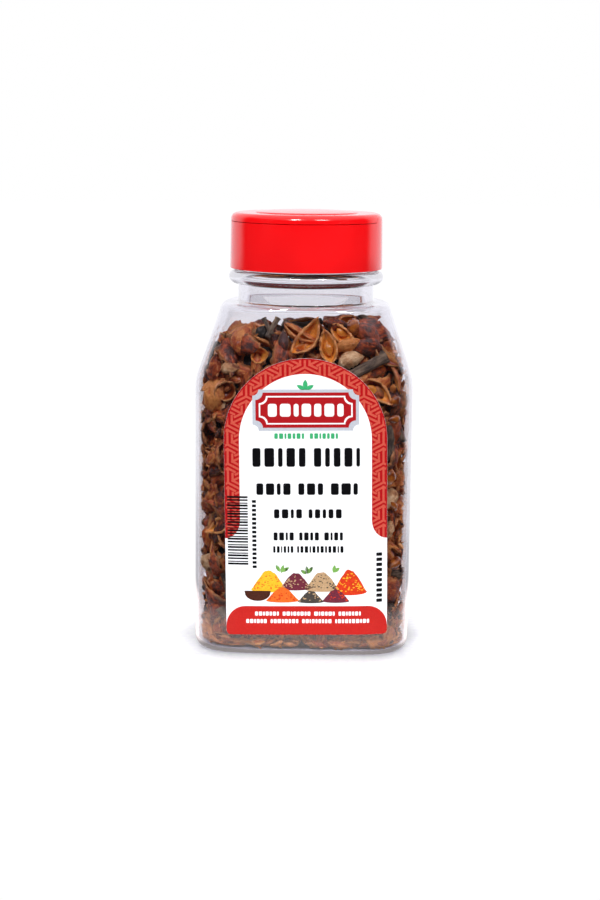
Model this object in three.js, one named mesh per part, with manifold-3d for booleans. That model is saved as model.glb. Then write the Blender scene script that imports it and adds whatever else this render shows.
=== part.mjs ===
// A clear PET spice jar with a red two-flap cap and a paper front label, filled with broken star anise.
// Millimetres. +Z is up, the label looks towards -Y, and the origin lies under the middle of the base.

import * as THREE from 'three';
import { mergeVertices } from 'three/addons/utils/BufferGeometryUtils.js';
import Module from 'manifold-3d';

// ---- Jar body ----
const BODY_HALF_WIDTH = 39.5;
const BODY_HALF_DEPTH = 29;
const BODY_SQUARENESS = 5; // exponent of the superellipse section
const HEEL_RADIUS = 4.5;
const STANDING_RING_WIDTH = 2.2;
const PUSH_UP_HEIGHT = 4.2;
const PUSH_UP_RINGS = [0.45, 0.8, 1]; // as shares of the way from its middle to the standing ring
const WALL = 1;
const FLOOR_THICKNESS = 1.2;

// ---- Jar shoulder ----
const SIDE_TAPER_BOTTOM = 99.5; // where the side walls start to lean in
const FACE_TAPER_BOTTOM = 111; // where the front and back faces start to lean in
const SHOULDER_BOTTOM = 123.5;
const SHOULDER_HALF_WIDTH = 31.4;
const SHOULDER_HALF_DEPTH = 26.6;
const SHOULDER_SQUARENESS = 3;
const SHOULDER_RADIUS = 3.4;
const TAPER_EASE = 7; // height over which the body rolls into the taper

// ---- Jar neck and finish ----
const NECK_RADIUS = 24.7;
const NECK_TOP = 133.5;
const NECK_FOOT_FLARE = 0.5; // fillet between the shoulder and the neck
const SHOULDER_DECK_HALF_DEPTH = NECK_RADIUS + 0.6; // the shoulder's deck ends just past the neck
const BEAD_RADIUS = 28.2;
const BEAD_TOP = 138.3;
const FINISH_RADIUS = 25.3;
const FINISH_BORE_RADIUS = 23.8;
const RING_STEP = 0.1; // least height between two rings of the neck
const JAR_TOP = 154.3;

// ---- Cap ----
const CAP_BOTTOM = 138.9;
const CAP_TOP = 159;
const CAP_FOOT_RADIUS = 27.75;
const CAP_HEAD_RADIUS = 27.5;
const CAP_BORE_RADIUS = 26.3;
const CAP_CEILING = 154.6;
const CAP_EDGE_RADIUS = 2.4;
const FLAP_SEAT = 155.8; // the deck that the shut flaps lie on
const FLAP_GAP = 0.3;
const HINGE_BAND_WIDTH = 14;
const CAP_TURN = THREE.MathUtils.degToRad(-5.5); // how far the screwed-down cap sits off square
const MEDALLION_RADIUS = 18.5; // raised disc in the middle of the top
const MEDALLION_HEIGHT = 0.9;

// ---- Label ----
const LABEL_HALF_WIDTH = 29.1;
const LABEL_BOTTOM = 8.6;
const LABEL_TOP = 109.3;
const LABEL_CENTRE_X = 1.5;
const LABEL_TURN = THREE.MathUtils.degToRad(1); // the label went on with its right end a little high
const LABEL_CORNER_RADIUS = 1.5;
const LABEL_GAP = 0.1;
const LABEL_THICKNESS = 0.25;
const LABEL_BLANK_DEPTH = 12; // thickness of the flat blank that is cut down to the wall's curve
const LABEL_BLANK_PROUD = 3; // how far the blank stands in front of the wall
const LABEL_MARGIN = 4; // how far the wall's curve is drawn past the label, below and above

// ---- Star anise filling ----
const HEAP_TOP = 118; // at the middle; it leans up to the right
const HEAP_LEAN = 0.13;
const HEAP_FLOOR = 3;
const WALL_CLEARANCE = 0.35;
const CORE_DEPTH = 5; // how far the core lies behind the pieces that lean on the wall
const PIECE_BITE = 0.7; // how far the least of them reaches into the core
const SETTLE_STEP = 0.5;
const SETTLE_STEPS = 12;
const POD_LENGTH = 15;
const SIDE_PITCH = 14.6; // spacing of the pieces that lean on the wall, round the jar
const ROW_PITCH = 12.4; // and up the jar
const TOP_PITCH = 12.2; // spacing of the pieces on the top of the heap
const STAR_ARMS = 8;
const STAR_ARM_REACH = 0.52; // from the star's middle to the middle of an arm, as a share of the pod's length
const STICK_SIDES = 5;
const HEAP_SEED = 20261;

// ---- How evenly the filling lies ----
const POD_SHARE = 0.5; // the rest of the pieces are stalks
const SHELL_SHARE = 0.34;
const SEED_SHARE = 0.09;
const WALL_SIZES = [0.75, 1.1]; // shares of the usual size
const WALL_COLUMN_PLACE = [0.1, 0.6]; // share of a column that a piece stands along it
const WALL_SCATTER = 0.28; // up or down, as a share of the row pitch
const WALL_TIP = 0.3; // radians
const TOP_SIZES = [0.8, 1.1];
const TOP_SCATTER = 0.3; // any way, as a share of the top pitch
const TOP_RISE = [0.5, 4]; // how far a piece stands above the heap's surface
const TOP_TIP = 0.5;

const JAR_SIDES = 40;
const CAP_SIDES = 64;
const CORE_SIDES = 20;
const WALL_POINTS = 96; // points that stand for the inner wall where pieces are placed
const ARC_STEPS = 4;
const UP = new THREE.Vector3(0, 0, 1);
const FULL_TURN = 2 * Math.PI;

const wasm = await Module();
wasm.setup();

// ---------------------------------------------------------------- geometry helpers

/** A closed skin over rings with equal point counts, ending in a point at each end. */
function loft(firstPole, rings, lastPole) {
  const count = rings[0].length;
  const points = [firstPole, ...rings.flat(), lastPole];
  const at = (ring, i) => 1 + ring * count + (i % count);
  const last = points.length - 1;
  const index = [];
  for (let i = 0; i < count; i += 1) {
    index.push(0, at(0, i + 1), at(0, i));
    for (let ring = 0; ring < rings.length - 1; ring += 1) {
      index.push(at(ring, i), at(ring, i + 1), at(ring + 1, i));
      index.push(at(ring, i + 1), at(ring + 1, i + 1), at(ring + 1, i));
    }
    index.push(at(rings.length - 1, i), at(rings.length - 1, i + 1), last);
  }
  const geometry = new THREE.BufferGeometry().setFromPoints(points);
  geometry.setIndex(index);
  return geometry;
}

/** The boolean solid of a closed geometry, with shared vertices merged and collapsed faces dropped. */
function toSolid(geometry) {
  const bare = geometry.clone();
  bare.deleteAttribute('normal');
  bare.deleteAttribute('uv');
  const merged = mergeVertices(bare);
  const index = merged.index.array;
  const kept = [];
  for (let i = 0; i < index.length; i += 3) {
    const [a, b, c] = index.slice(i, i + 3);
    if (a !== b && b !== c && a !== c) kept.push(a, b, c);
  }
  const vertProperties = new Float32Array(merged.attributes.position.array);
  return new wasm.Manifold(new wasm.Mesh({ numProp: 3, vertProperties, triVerts: new Uint32Array(kept) }));
}

/** The geometry of a boolean solid. */
function toGeometry(solid) {
  const mesh = solid.getMesh();
  const geometry = new THREE.BufferGeometry();
  geometry.setAttribute('position', new THREE.BufferAttribute(new Float32Array(mesh.vertProperties), 3));
  geometry.setIndex(new THREE.BufferAttribute(new Uint32Array(mesh.triVerts), 1));
  return geometry;
}

/** Joins many solids in pairs, so that no single join is a large one. */
function joinAll(solids) {
  if (solids.length === 1) return solids[0];
  const half = Math.ceil(solids.length / 2);
  return joinAll(solids.slice(0, half)).add(joinAll(solids.slice(half)));
}

/** A turned solid about Z from a profile of [radius, height] pairs. */
function turned(profile, sides) {
  const points = profile.map(([radius, height]) => new THREE.Vector2(radius, height));
  const geometry = new THREE.LatheGeometry(points, sides);
  geometry.rotateX(Math.PI / 2);
  return geometry;
}

/** Points of an arc in a profile, from one angle to another, both ends included. */
function arc(centre, radius, from, to, steps = ARC_STEPS) {
  const points = [];
  for (let i = 0; i <= steps; i += 1) {
    const angle = THREE.MathUtils.degToRad(THREE.MathUtils.lerp(from, to, i / steps));
    points.push([centre[0] + radius * Math.cos(angle), centre[1] + radius * Math.sin(angle)]);
  }
  return points;
}

// ---------------------------------------------------------------- jar section

/** 0 below a height, rising to 1 at the shoulder, with a rolled start. */
function lean(z, bottom) {
  const ease = TAPER_EASE / 2;
  const run = SHOULDER_BOTTOM - bottom;
  if (z <= bottom - ease) return 0;
  if (z < bottom + ease) return (z - bottom + ease) ** 2 / (4 * ease * run);
  return (z - bottom) / run;
}

/** Half width, half depth and squareness of the outer wall at a height of the body. */
function bodySection(z) {
  const side = lean(z, SIDE_TAPER_BOTTOM);
  const face = lean(z, FACE_TAPER_BOTTOM);
  return {
    halfWidth: THREE.MathUtils.lerp(BODY_HALF_WIDTH, SHOULDER_HALF_WIDTH, side),
    halfDepth: THREE.MathUtils.lerp(BODY_HALF_DEPTH, SHOULDER_HALF_DEPTH, face),
    squareness: THREE.MathUtils.lerp(BODY_SQUARENESS, SHOULDER_SQUARENESS, side),
  };
}

/** A superellipse ring at a height, pulled in from a section by an inset. */
function ringOf(section, inset, z, sides = JAR_SIDES) {
  const power = 2 / section.squareness;
  const points = [];
  for (let i = 0; i < sides; i += 1) {
    const angle = (FULL_TURN * i) / sides;
    const x = Math.sign(Math.cos(angle)) * Math.abs(Math.cos(angle)) ** power;
    const y = Math.sign(Math.sin(angle)) * Math.abs(Math.sin(angle)) ** power;
    points.push(new THREE.Vector3((section.halfWidth - inset) * x, (section.halfDepth - inset) * y, z));
  }
  return points;
}

/** A round ring. */
function roundRing(radius, z) {
  return ringOf({ halfWidth: radius, halfDepth: radius, squareness: 2 }, 0, z);
}

/** Heights at which the body's wall needs a ring, outside and inside. */
const WALL_HEIGHTS = [96, 99.5, 104, 110, 115, SHOULDER_BOTTOM];
const INNER_WALL_HEIGHTS = [96, 103, 112, SHOULDER_BOTTOM];

/** Rings of the base: the standing ring and the push-up inside it, from the middle outwards. */
function pushUpRings(lift) {
  const section = bodySection(0);
  const reach = HEEL_RADIUS + STANDING_RING_WIDTH;
  return PUSH_UP_RINGS.map((share) => {
    const scaled = {
      halfWidth: (section.halfWidth - reach) * share,
      halfDepth: (section.halfDepth - reach) * share,
      squareness: section.squareness,
    };
    return ringOf(scaled, 0, lift + PUSH_UP_HEIGHT * (1 - share ** 3));
  });
}

/** Rings of the heel, from the floor up to the wall. */
function heelRings(radius, centreZ, inset) {
  const section = bodySection(0);
  const profile = arc([0, centreZ], radius, -90, 0);
  return profile.map(([reach, z]) => ringOf(section, inset + radius - reach, z));
}

/** Rings of the shoulder's rounded edge, from the wall to the flat deck. */
function shoulderRings(inset) {
  const radius = SHOULDER_RADIUS - inset;
  const profile = arc([0, SHOULDER_BOTTOM], radius, 0, 90, 3).slice(1);
  return profile.map(([reach, z]) => {
    const drawn = 1 - reach / radius;
    const section = {
      halfWidth: SHOULDER_HALF_WIDTH - radius * drawn,
      halfDepth: THREE.MathUtils.lerp(SHOULDER_HALF_DEPTH, SHOULDER_DECK_HALF_DEPTH, drawn),
      squareness: SHOULDER_SQUARENESS,
    };
    return ringOf(section, inset, z);
  });
}

/** The clear jar: one open shell from the push-up, round the outside and over the rim, to the inner floor. */
function jarGeometry() {
  const deck = SHOULDER_BOTTOM + SHOULDER_RADIUS;
  const beadMiddle = (NECK_TOP + BEAD_TOP) / 2;
  const beadHalf = (BEAD_TOP - NECK_TOP) / 2;
  const beadReach = BEAD_RADIUS - beadHalf;
  const outside = [
    ...pushUpRings(0),
    ...heelRings(HEEL_RADIUS, HEEL_RADIUS, 0),
    ...WALL_HEIGHTS.map((z) => ringOf(bodySection(z), 0, z)),
    ...shoulderRings(0),
    roundRing(NECK_RADIUS + NECK_FOOT_FLARE, deck + RING_STEP),
    roundRing(NECK_RADIUS, deck + NECK_FOOT_FLARE + RING_STEP),
    roundRing(NECK_RADIUS, NECK_TOP - RING_STEP),
    ...arc([beadReach, beadMiddle], beadHalf, -90, 90).map(([radius, z]) => roundRing(radius, z)),
    roundRing(FINISH_RADIUS, BEAD_TOP + RING_STEP),
    roundRing(FINISH_RADIUS, JAR_TOP),
  ];
  const inside = [
    ...heelRings(HEEL_RADIUS - WALL, HEEL_RADIUS + FLOOR_THICKNESS - WALL, WALL),
    ...INNER_WALL_HEIGHTS.map((z) => ringOf(bodySection(z), WALL, z)),
    ...shoulderRings(WALL),
    roundRing(FINISH_BORE_RADIUS, deck - WALL + RING_STEP),
    roundRing(FINISH_BORE_RADIUS, JAR_TOP),
  ];
  const floor = pushUpRings(FLOOR_THICKNESS);
  const rings = [...outside, ...inside.reverse(), ...floor.reverse()];
  const underside = new THREE.Vector3(0, 0, PUSH_UP_HEIGHT);
  const floorMiddle = new THREE.Vector3(0, 0, PUSH_UP_HEIGHT + FLOOR_THICKNESS);
  return loft(underside, rings, floorMiddle);
}

// ---------------------------------------------------------------- cap

/** Profile of the cap's crown from its rim to the middle of the medallion. */
function crownProfile() {
  const corner = [CAP_HEAD_RADIUS - CAP_EDGE_RADIUS, CAP_TOP - CAP_EDGE_RADIUS];
  return [
    ...arc(corner, CAP_EDGE_RADIUS, 0, 90),
    [MEDALLION_RADIUS + MEDALLION_HEIGHT, CAP_TOP],
    [MEDALLION_RADIUS, CAP_TOP + MEDALLION_HEIGHT],
    [0, CAP_TOP + MEDALLION_HEIGHT],
  ];
}

/** The half of the cap's top in front of (-1) or behind (+1) the hinge band, above a height. */
function flapSpace(side, bottom, gap) {
  const reach = 2 * CAP_FOOT_RADIUS;
  const nearEdge = HINGE_BAND_WIDTH / 2 + gap;
  const box = new THREE.BoxGeometry(2 * reach, reach, reach);
  box.translate(0, side * (nearEdge + reach / 2), bottom + reach / 2);
  return toSolid(box);
}

/** Skirt, ceiling, flap seats and the hinge band across the top, in one moulding. */
function capGeometry() {
  const profile = [
    [0, CAP_CEILING],
    [CAP_BORE_RADIUS, CAP_CEILING],
    [CAP_BORE_RADIUS, CAP_BOTTOM],
    [CAP_FOOT_RADIUS, CAP_BOTTOM],
    ...crownProfile(),
  ];
  const whole = toSolid(turned(profile, CAP_SIDES));
  const frontSeat = flapSpace(-1, FLAP_SEAT, 0);
  const backSeat = flapSpace(1, FLAP_SEAT, 0);
  return toGeometry(whole.subtract(frontSeat).subtract(backSeat));
}

/** One shut flap, flush with the cap's rim. */
function flapGeometry(side) {
  const bottom = FLAP_SEAT + FLAP_GAP;
  const profile = [[0, bottom], [CAP_HEAD_RADIUS, bottom], ...crownProfile()];
  const crown = toSolid(turned(profile, CAP_SIDES));
  return toGeometry(crown.intersect(flapSpace(side, bottom - 1, FLAP_GAP)));
}

// ---------------------------------------------------------------- label

/** The label's outline: a round arch over straight sides, with small rounded lower corners. */
function labelShape() {
  const springLine = LABEL_TOP - LABEL_HALF_WIDTH;
  const low = LABEL_BOTTOM + LABEL_CORNER_RADIUS;
  const inner = LABEL_HALF_WIDTH - LABEL_CORNER_RADIUS;
  const shape = new THREE.Shape();
  shape.moveTo(-inner, LABEL_BOTTOM);
  shape.absarc(inner, low, LABEL_CORNER_RADIUS, -Math.PI / 2, 0, false);
  shape.absarc(0, springLine, LABEL_HALF_WIDTH, 0, Math.PI, false);
  shape.absarc(-inner, low, LABEL_CORNER_RADIUS, Math.PI, 1.5 * Math.PI, false);
  return shape;
}

/** A solid that follows the jar's outer wall, standing proud of it by an offset. */
function wallBlock(proud) {
  const heights = [LABEL_BOTTOM - LABEL_MARGIN, ...WALL_HEIGHTS.filter((z) => z < LABEL_TOP + LABEL_MARGIN)];
  const rings = heights.map((z) => ringOf(bodySection(z), -proud, z));
  const bottom = new THREE.Vector3(0, 0, heights[0]);
  const top = new THREE.Vector3(0, 0, heights.at(-1));
  return toSolid(loft(bottom, rings, top));
}

/** The paper label, bent to the front wall. */
function labelGeometry() {
  const flat = { depth: LABEL_BLANK_DEPTH, bevelEnabled: false, curveSegments: 10 };
  const blank = new THREE.ExtrudeGeometry(labelShape(), flat);
  const middle = (LABEL_BOTTOM + LABEL_TOP) / 2;
  blank.rotateX(Math.PI / 2);
  blank.translate(0, 0, -middle);
  blank.rotateY(-LABEL_TURN);
  const back = LABEL_BLANK_DEPTH - LABEL_BLANK_PROUD - BODY_HALF_DEPTH;
  blank.translate(LABEL_CENTRE_X, back, middle);
  const skin = wallBlock(LABEL_GAP + LABEL_THICKNESS).subtract(wallBlock(LABEL_GAP));
  return toGeometry(toSolid(blank).intersect(skin));
}

// ---------------------------------------------------------------- star anise pieces

/** A seeded run of numbers from 0 to 1. */
class Draw {
  constructor(seed) {
    this.state = seed >>> 0;
  }

  next() {
    this.state = (Math.imul(this.state, 1664525) + 1013904223) >>> 0;
    return this.state / 4294967296;
  }

  between(low, high) {
    return low + (high - low) * this.next();
  }
}

/**
 * The husks: their width, their depth, the groove between their seams, and where their sections stand, all as
 * shares of the length. Each section also has its shares of the width and of the depth.
 */
const POD = {
  width: 0.36,
  depth: 0.46,
  groove: 0.16,
  stations: [
    [-0.2, 0.9, 1],
    [0.2, 0.9, 0.85],
  ],
};
const SHELL = { width: 0.56, depth: 0.34, groove: 0.16, stations: [[0.05, 1, 1]] };
const HUSK_HEEL_DROP = 0.3; // as shares of the depth
const HUSK_BEAK_RISE = 0.12;

/** The sticks: length as a share of a pod's, the rest as shares of that length. */
const SEED = { length: 0.6, width: 0.7, thickness: 0.43, bow: 0, stations: [0] };
const STALK = { length: 1.5, width: 0.113, thickness: 0.113, bow: 0.053, stations: [-0.25, 0.25] };

/** A boat-shaped husk along X, its open seam up: pointed ends, a keel below and a groove above. */
function huskGeometry(form, length) {
  const width = form.width * length;
  const depth = form.depth * length;
  const groove = form.groove * length;
  const rings = form.stations.map(([along, wide, deep]) => {
    const x = along * length;
    const half = (wide * width) / 2;
    return [
      new THREE.Vector3(x, half, 0),
      new THREE.Vector3(x, 0, -groove * wide),
      new THREE.Vector3(x, -half, 0),
      new THREE.Vector3(x, 0, -depth * deep),
    ];
  });
  const heel = new THREE.Vector3(-length / 2, 0, -HUSK_HEEL_DROP * depth);
  const beak = new THREE.Vector3(length / 2, 0, HUSK_BEAK_RISE * depth);
  return loft(heel, rings, beak);
}

/** A pointed stick along X, used for seeds and stalks. */
function stickGeometry(form, podLength) {
  const length = form.length * podLength;
  const width = form.width * length;
  const thickness = form.thickness * length;
  const bow = form.bow * length;
  const rings = form.stations.map((along) => {
    const points = [];
    for (let i = 0; i < STICK_SIDES; i += 1) {
      const angle = (FULL_TURN * i) / STICK_SIDES;
      const y = (Math.cos(angle) * width) / 2;
      const z = (Math.sin(angle) * thickness) / 2 + bow * (1 - 4 * along ** 2);
      points.push(new THREE.Vector3(along * length, y, z));
    }
    return points;
  });
  return loft(new THREE.Vector3(-length / 2, 0, 0), rings, new THREE.Vector3(length / 2, 0, 0));
}

/** The husk, shell, seed or stalk of a kind, at a share of its usual size. */
function pieceGeometry(kind, size) {
  const length = POD_LENGTH * size;
  if (kind === 'pod') return huskGeometry(POD, length);
  if (kind === 'shell') return huskGeometry(SHELL, length);
  return stickGeometry(kind === 'seed' ? SEED : STALK, length);
}

/** Every arm of a whole star, laid out flat with its seams up. */
function starPieces(size) {
  const pieces = [];
  for (let arm = 0; arm < STAR_ARMS; arm += 1) {
    const husk = pieceGeometry('pod', size);
    husk.translate(STAR_ARM_REACH * POD_LENGTH * size, 0, 0);
    husk.rotateZ((FULL_TURN * arm) / STAR_ARMS);
    pieces.push(husk);
  }
  return pieces;
}

/** The kind of piece that a draw from 0 to 1 stands for. */
function kindOf(draw) {
  if (draw < POD_SHARE) return 'pod';
  if (draw < POD_SHARE + SHELL_SHARE) return 'shell';
  if (draw < POD_SHARE + SHELL_SHARE + SEED_SHARE) return 'seed';
  return 'stalk';
}

// ---------------------------------------------------------------- where the pieces lie

/** Over 1 where a point is nearer to the inner wall than the clearance, or past it. */
function crowding(point) {
  const section = bodySection(point.z);
  const inset = WALL + WALL_CLEARANCE;
  const x = Math.abs(point.x) / (section.halfWidth - inset);
  const y = Math.abs(point.y) / (section.halfDepth - inset);
  return x ** section.squareness + y ** section.squareness;
}

/** The wall's outward direction near a point. */
function outward(point) {
  const step = 0.05;
  const along = (dx, dy, dz) => {
    const ahead = crowding(new THREE.Vector3(point.x + dx, point.y + dy, point.z + dz));
    return ahead - crowding(new THREE.Vector3(point.x - dx, point.y - dy, point.z - dz));
  };
  return new THREE.Vector3(along(step, 0, 0), along(0, step, 0), along(0, 0, step)).normalize();
}

/** The point on the inner wall at a height and a share of the way round, from the +X side. */
function wallPoint(share, z) {
  const ring = ringOf(bodySection(z), WALL + WALL_CLEARANCE, z, WALL_POINTS);
  const lengths = ring.map((point, i) => point.distanceTo(ring[(i + 1) % ring.length]));
  let left = share * lengths.reduce((sum, length) => sum + length, 0);
  let i = 0;
  while (left > lengths[i]) {
    left -= lengths[i];
    i += 1;
  }
  return ring[i].clone().lerp(ring[(i + 1) % ring.length], left / lengths[i]);
}

/** Distance round the inner wall at a height. */
function girth(z) {
  const ring = ringOf(bodySection(z), WALL + WALL_CLEARANCE, z, WALL_POINTS);
  return ring.reduce((sum, point, i) => sum + point.distanceTo(ring[(i + 1) % ring.length]), 0);
}

/** Height of the heap's surface. */
function heapTop(x) {
  return HEAP_TOP + HEAP_LEAN * x;
}

/** Turns a piece to face along a normal: spun in the plane, rolled about its length, then tipped. */
function aim(normal, spin, roll, tip) {
  const up = Math.abs(normal.z) > 0.9 ? new THREE.Vector3(0, 1, 0) : new THREE.Vector3(0, 0, 1);
  const level = new THREE.Vector3().crossVectors(up, normal).normalize();
  const rise = new THREE.Vector3().crossVectors(normal, level);
  const turn = new THREE.Matrix4().makeBasis(level, rise, normal);
  turn.multiply(new THREE.Matrix4().makeRotationZ(spin));
  turn.multiply(new THREE.Matrix4().makeRotationY(tip));
  turn.multiply(new THREE.Matrix4().makeRotationX(roll));
  return turn;
}

/** Any spin and roll about a normal, tipped by up to an angle. */
function anyTurn(draw, normal, tip) {
  const spin = draw.between(0, FULL_TURN);
  const roll = draw.between(0, FULL_TURN);
  return aim(normal, spin, roll, draw.between(-tip, tip));
}

/** The corners of geometries as vectors. */
function cornersOf(geometries) {
  return geometries.flatMap((geometry) => {
    const position = geometry.attributes.position;
    const corner = (_, i) => new THREE.Vector3().fromBufferAttribute(position, i);
    return Array.from({ length: position.count }, corner);
  });
}

/** Lays pieces against a surface point, then draws them in until wall and floor are clear. */
function settle(pieces, anchor, normal, turn) {
  pieces.forEach((piece) => piece.applyMatrix4(turn));
  const corners = cornersOf(pieces);
  const heights = corners.map((corner) => corner.dot(normal));
  const reach = Math.max(...heights);
  const thickness = reach - Math.min(...heights);
  const sink = Math.max(0, CORE_DEPTH + PIECE_BITE - thickness);
  const place = anchor.clone().addScaledVector(normal, -reach - sink);
  const inwards = new THREE.Vector3(-anchor.x, -anchor.y, 0).normalize();
  const moved = new THREE.Vector3();
  const outside = (corner) => crowding(moved.copy(corner).add(place)) > 1;
  while (corners.some(outside)) place.addScaledVector(inwards, SETTLE_STEP / 2);
  const lowest = Math.min(...corners.map((corner) => corner.z)) + place.z;
  place.z += Math.max(0, HEAP_FLOOR - lowest);
  pieces.forEach((piece) => piece.translate(place.x, place.y, place.z));
  return joinAll(pieces.map(toSolid));
}

/** Pushes a piece inwards in small steps until it meets the core. */
function meetCore(piece, core) {
  const box = piece.boundingBox();
  const toMiddle = new THREE.Vector3(-(box.min[0] + box.max[0]), -(box.min[1] + box.max[1]), 0);
  const above = box.min[2] > HEAP_TOP - 2 * CORE_DEPTH;
  const step = above ? UP.clone().negate() : toMiddle.normalize();
  step.multiplyScalar(SETTLE_STEP);
  let placed = piece;
  for (let i = 0; i < SETTLE_STEPS && placed.intersect(core).isEmpty(); i += 1) {
    placed = placed.translate([step.x, step.y, step.z]);
  }
  return placed;
}

/** The pieces that lean on the wall, row by row. */
function wallPieces(draw) {
  const placed = [];
  const rows = Math.round((HEAP_TOP - HEAP_FLOOR) / ROW_PITCH);
  for (let row = 0; row < rows; row += 1) {
    const z = HEAP_FLOOR + ROW_PITCH * (row + 0.5);
    const columns = Math.round(girth(z) / SIDE_PITCH);
    for (let column = 0; column < columns; column += 1) {
      const share = (column + 0.5 * (row % 2) + draw.between(...WALL_COLUMN_PLACE)) / columns;
      const height = z + draw.between(-WALL_SCATTER, WALL_SCATTER) * ROW_PITCH;
      const anchor = wallPoint(share % 1, height);
      const piece = pieceGeometry(kindOf(draw.next()), draw.between(...WALL_SIZES));
      const normal = outward(anchor);
      placed.push(settle([piece], anchor, normal, anyTurn(draw, normal, WALL_TIP)));
    }
  }
  return placed;
}

/** The pieces that lie on top of the heap. */
function topPieces(draw) {
  const placed = [];
  const section = bodySection(HEAP_TOP);
  const across = Math.floor(section.halfWidth / TOP_PITCH);
  const deep = Math.floor(section.halfDepth / TOP_PITCH);
  for (let i = -across; i <= across; i += 1) {
    for (let j = -deep; j <= deep; j += 1) {
      const x = (i + draw.between(-TOP_SCATTER, TOP_SCATTER)) * TOP_PITCH;
      const y = (j + draw.between(-TOP_SCATTER, TOP_SCATTER)) * TOP_PITCH;
      const anchor = new THREE.Vector3(x, y, heapTop(x) + draw.between(...TOP_RISE));
      const piece = pieceGeometry(kindOf(draw.next()), draw.between(...TOP_SIZES));
      placed.push(settle([piece], anchor, UP, anyTurn(draw, UP, TOP_TIP)));
    }
  }
  return placed;
}

/** Where the whole stars lean on the wall: on the front near the top, on the back, and on the right side. */
const WHOLE_STARS = [
  { share: 0.775, z: 113, spin: 0.25, size: 0.95 },
  { share: 0.3, z: 84, spin: 0.1, size: 0.95 },
  { share: 0.98, z: 56, spin: 0.3, size: 0.9 },
];

/** The whole stars in their places. */
function wholeStars() {
  return WHOLE_STARS.map(({ share, z, spin, size }) => {
    const anchor = wallPoint(share, z);
    const normal = outward(anchor);
    return settle(starPieces(size), anchor, normal, aim(normal, spin, 0, 0));
  });
}

/** The core's rings from the foot up, with how far the foot and the crown are drawn in. */
const CORE_RINGS = [
  { z: PUSH_UP_HEIGHT + 2.4, drawnIn: 3, lean: 0 },
  { z: HEAP_FLOOR + 8, drawnIn: 0, lean: 0 },
  { z: 97, drawnIn: 0, lean: 0 },
  { z: 108, drawnIn: 0, lean: 0 },
  { z: HEAP_TOP - CORE_DEPTH, drawnIn: 2, lean: HEAP_LEAN },
];

/** The packed middle of the heap, which the pieces that show are fused on. */
function coreSolid() {
  const rings = CORE_RINGS.map(({ z, drawnIn, lean: slope }) => {
    const ring = ringOf(bodySection(z), WALL + WALL_CLEARANCE + CORE_DEPTH + drawnIn, z, CORE_SIDES);
    ring.forEach((point) => point.setZ(point.z + slope * point.x));
    return ring;
  });
  const foot = new THREE.Vector3(0, 0, CORE_RINGS[0].z);
  const crown = new THREE.Vector3(0, 0, CORE_RINGS.at(-1).z + 1);
  return toSolid(loft(foot, rings, crown));
}

/** The whole filling as one body: the largest shell of the join, so that no sealed hollow stays in it. */
function fillingGeometry() {
  const draw = new Draw(HEAP_SEED);
  const core = coreSolid();
  const pieces = [...wallPieces(draw), ...topPieces(draw), ...wholeStars()];
  const joined = joinAll([core, ...pieces.map((piece) => meetCore(piece, core))]);
  const bodies = joined.decompose();
  bodies.sort((a, b) => b.volume() - a.volume());
  return toGeometry(bodies[0]);
}

// ---------------------------------------------------------------- assembly

const clearPlastic = { color: 0xe9eef4, roughness: 0.06, metalness: 0, transparent: true, opacity: 0.3 };
const redPlastic = { color: 0xd8141c, roughness: 0.28, metalness: 0 };
const paper = { color: 0xf6f6fa, roughness: 0.55, metalness: 0 };
const driedPods = { color: 0x7a4222, roughness: 0.62, metalness: 0 };

/** A named mesh with a material of its own. */
function sub(name, geometry, finish) {
  const mesh = new THREE.Mesh(geometry, new THREE.MeshStandardMaterial(finish));
  mesh.name = name;
  return mesh;
}

const cap = new THREE.Group();
cap.rotation.z = CAP_TURN;
cap.add(sub('cap', capGeometry(), redPlastic));
cap.add(sub('cap_flap_front', flapGeometry(-1), redPlastic));
cap.add(sub('cap_flap_back', flapGeometry(1), redPlastic));

const filledJar = new THREE.Group();
filledJar.add(sub('jar', jarGeometry(), clearPlastic));
filledJar.add(cap);
filledJar.add(sub('label', labelGeometry(), paper));
filledJar.add(sub('star_anise', fillingGeometry(), driedPods));

export default filledJar;
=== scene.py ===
"""A clear PET spice jar with a red two-flap cap and a paper front label, filled with broken star anise.

Sizes in the classes are millimetres in the part's own frame: the base stands on z = 0 and the label looks
towards -Y. Meshes are written in metres.
"""

import logging
import math
from collections.abc import Callable, Iterable, Sequence
from dataclasses import dataclass, field, replace
from enum import Enum
from functools import partial

import bmesh
import bpy
import numpy as np
from mathutils import Matrix, Vector
from mathutils.geometry import delaunay_2d_cdt


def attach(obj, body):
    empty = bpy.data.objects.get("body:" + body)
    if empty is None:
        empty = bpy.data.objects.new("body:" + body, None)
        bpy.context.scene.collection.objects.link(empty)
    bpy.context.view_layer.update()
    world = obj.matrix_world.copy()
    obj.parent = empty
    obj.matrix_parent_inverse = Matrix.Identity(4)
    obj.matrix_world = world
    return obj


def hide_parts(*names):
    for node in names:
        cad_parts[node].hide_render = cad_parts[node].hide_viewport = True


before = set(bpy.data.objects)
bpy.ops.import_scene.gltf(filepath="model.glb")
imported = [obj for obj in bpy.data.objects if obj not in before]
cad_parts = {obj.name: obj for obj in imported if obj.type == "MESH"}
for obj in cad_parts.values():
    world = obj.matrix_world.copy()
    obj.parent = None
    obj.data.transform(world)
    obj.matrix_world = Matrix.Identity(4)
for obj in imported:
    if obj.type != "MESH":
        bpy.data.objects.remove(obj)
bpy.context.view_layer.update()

MM = 0.001
FULL_TURN = 2 * math.pi
RING_SAMPLES = 1600
Array = np.ndarray
log = logging.getLogger("star_anise_jar")


# ---------------------------------------------------------------- colour, nodes and meshes


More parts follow.
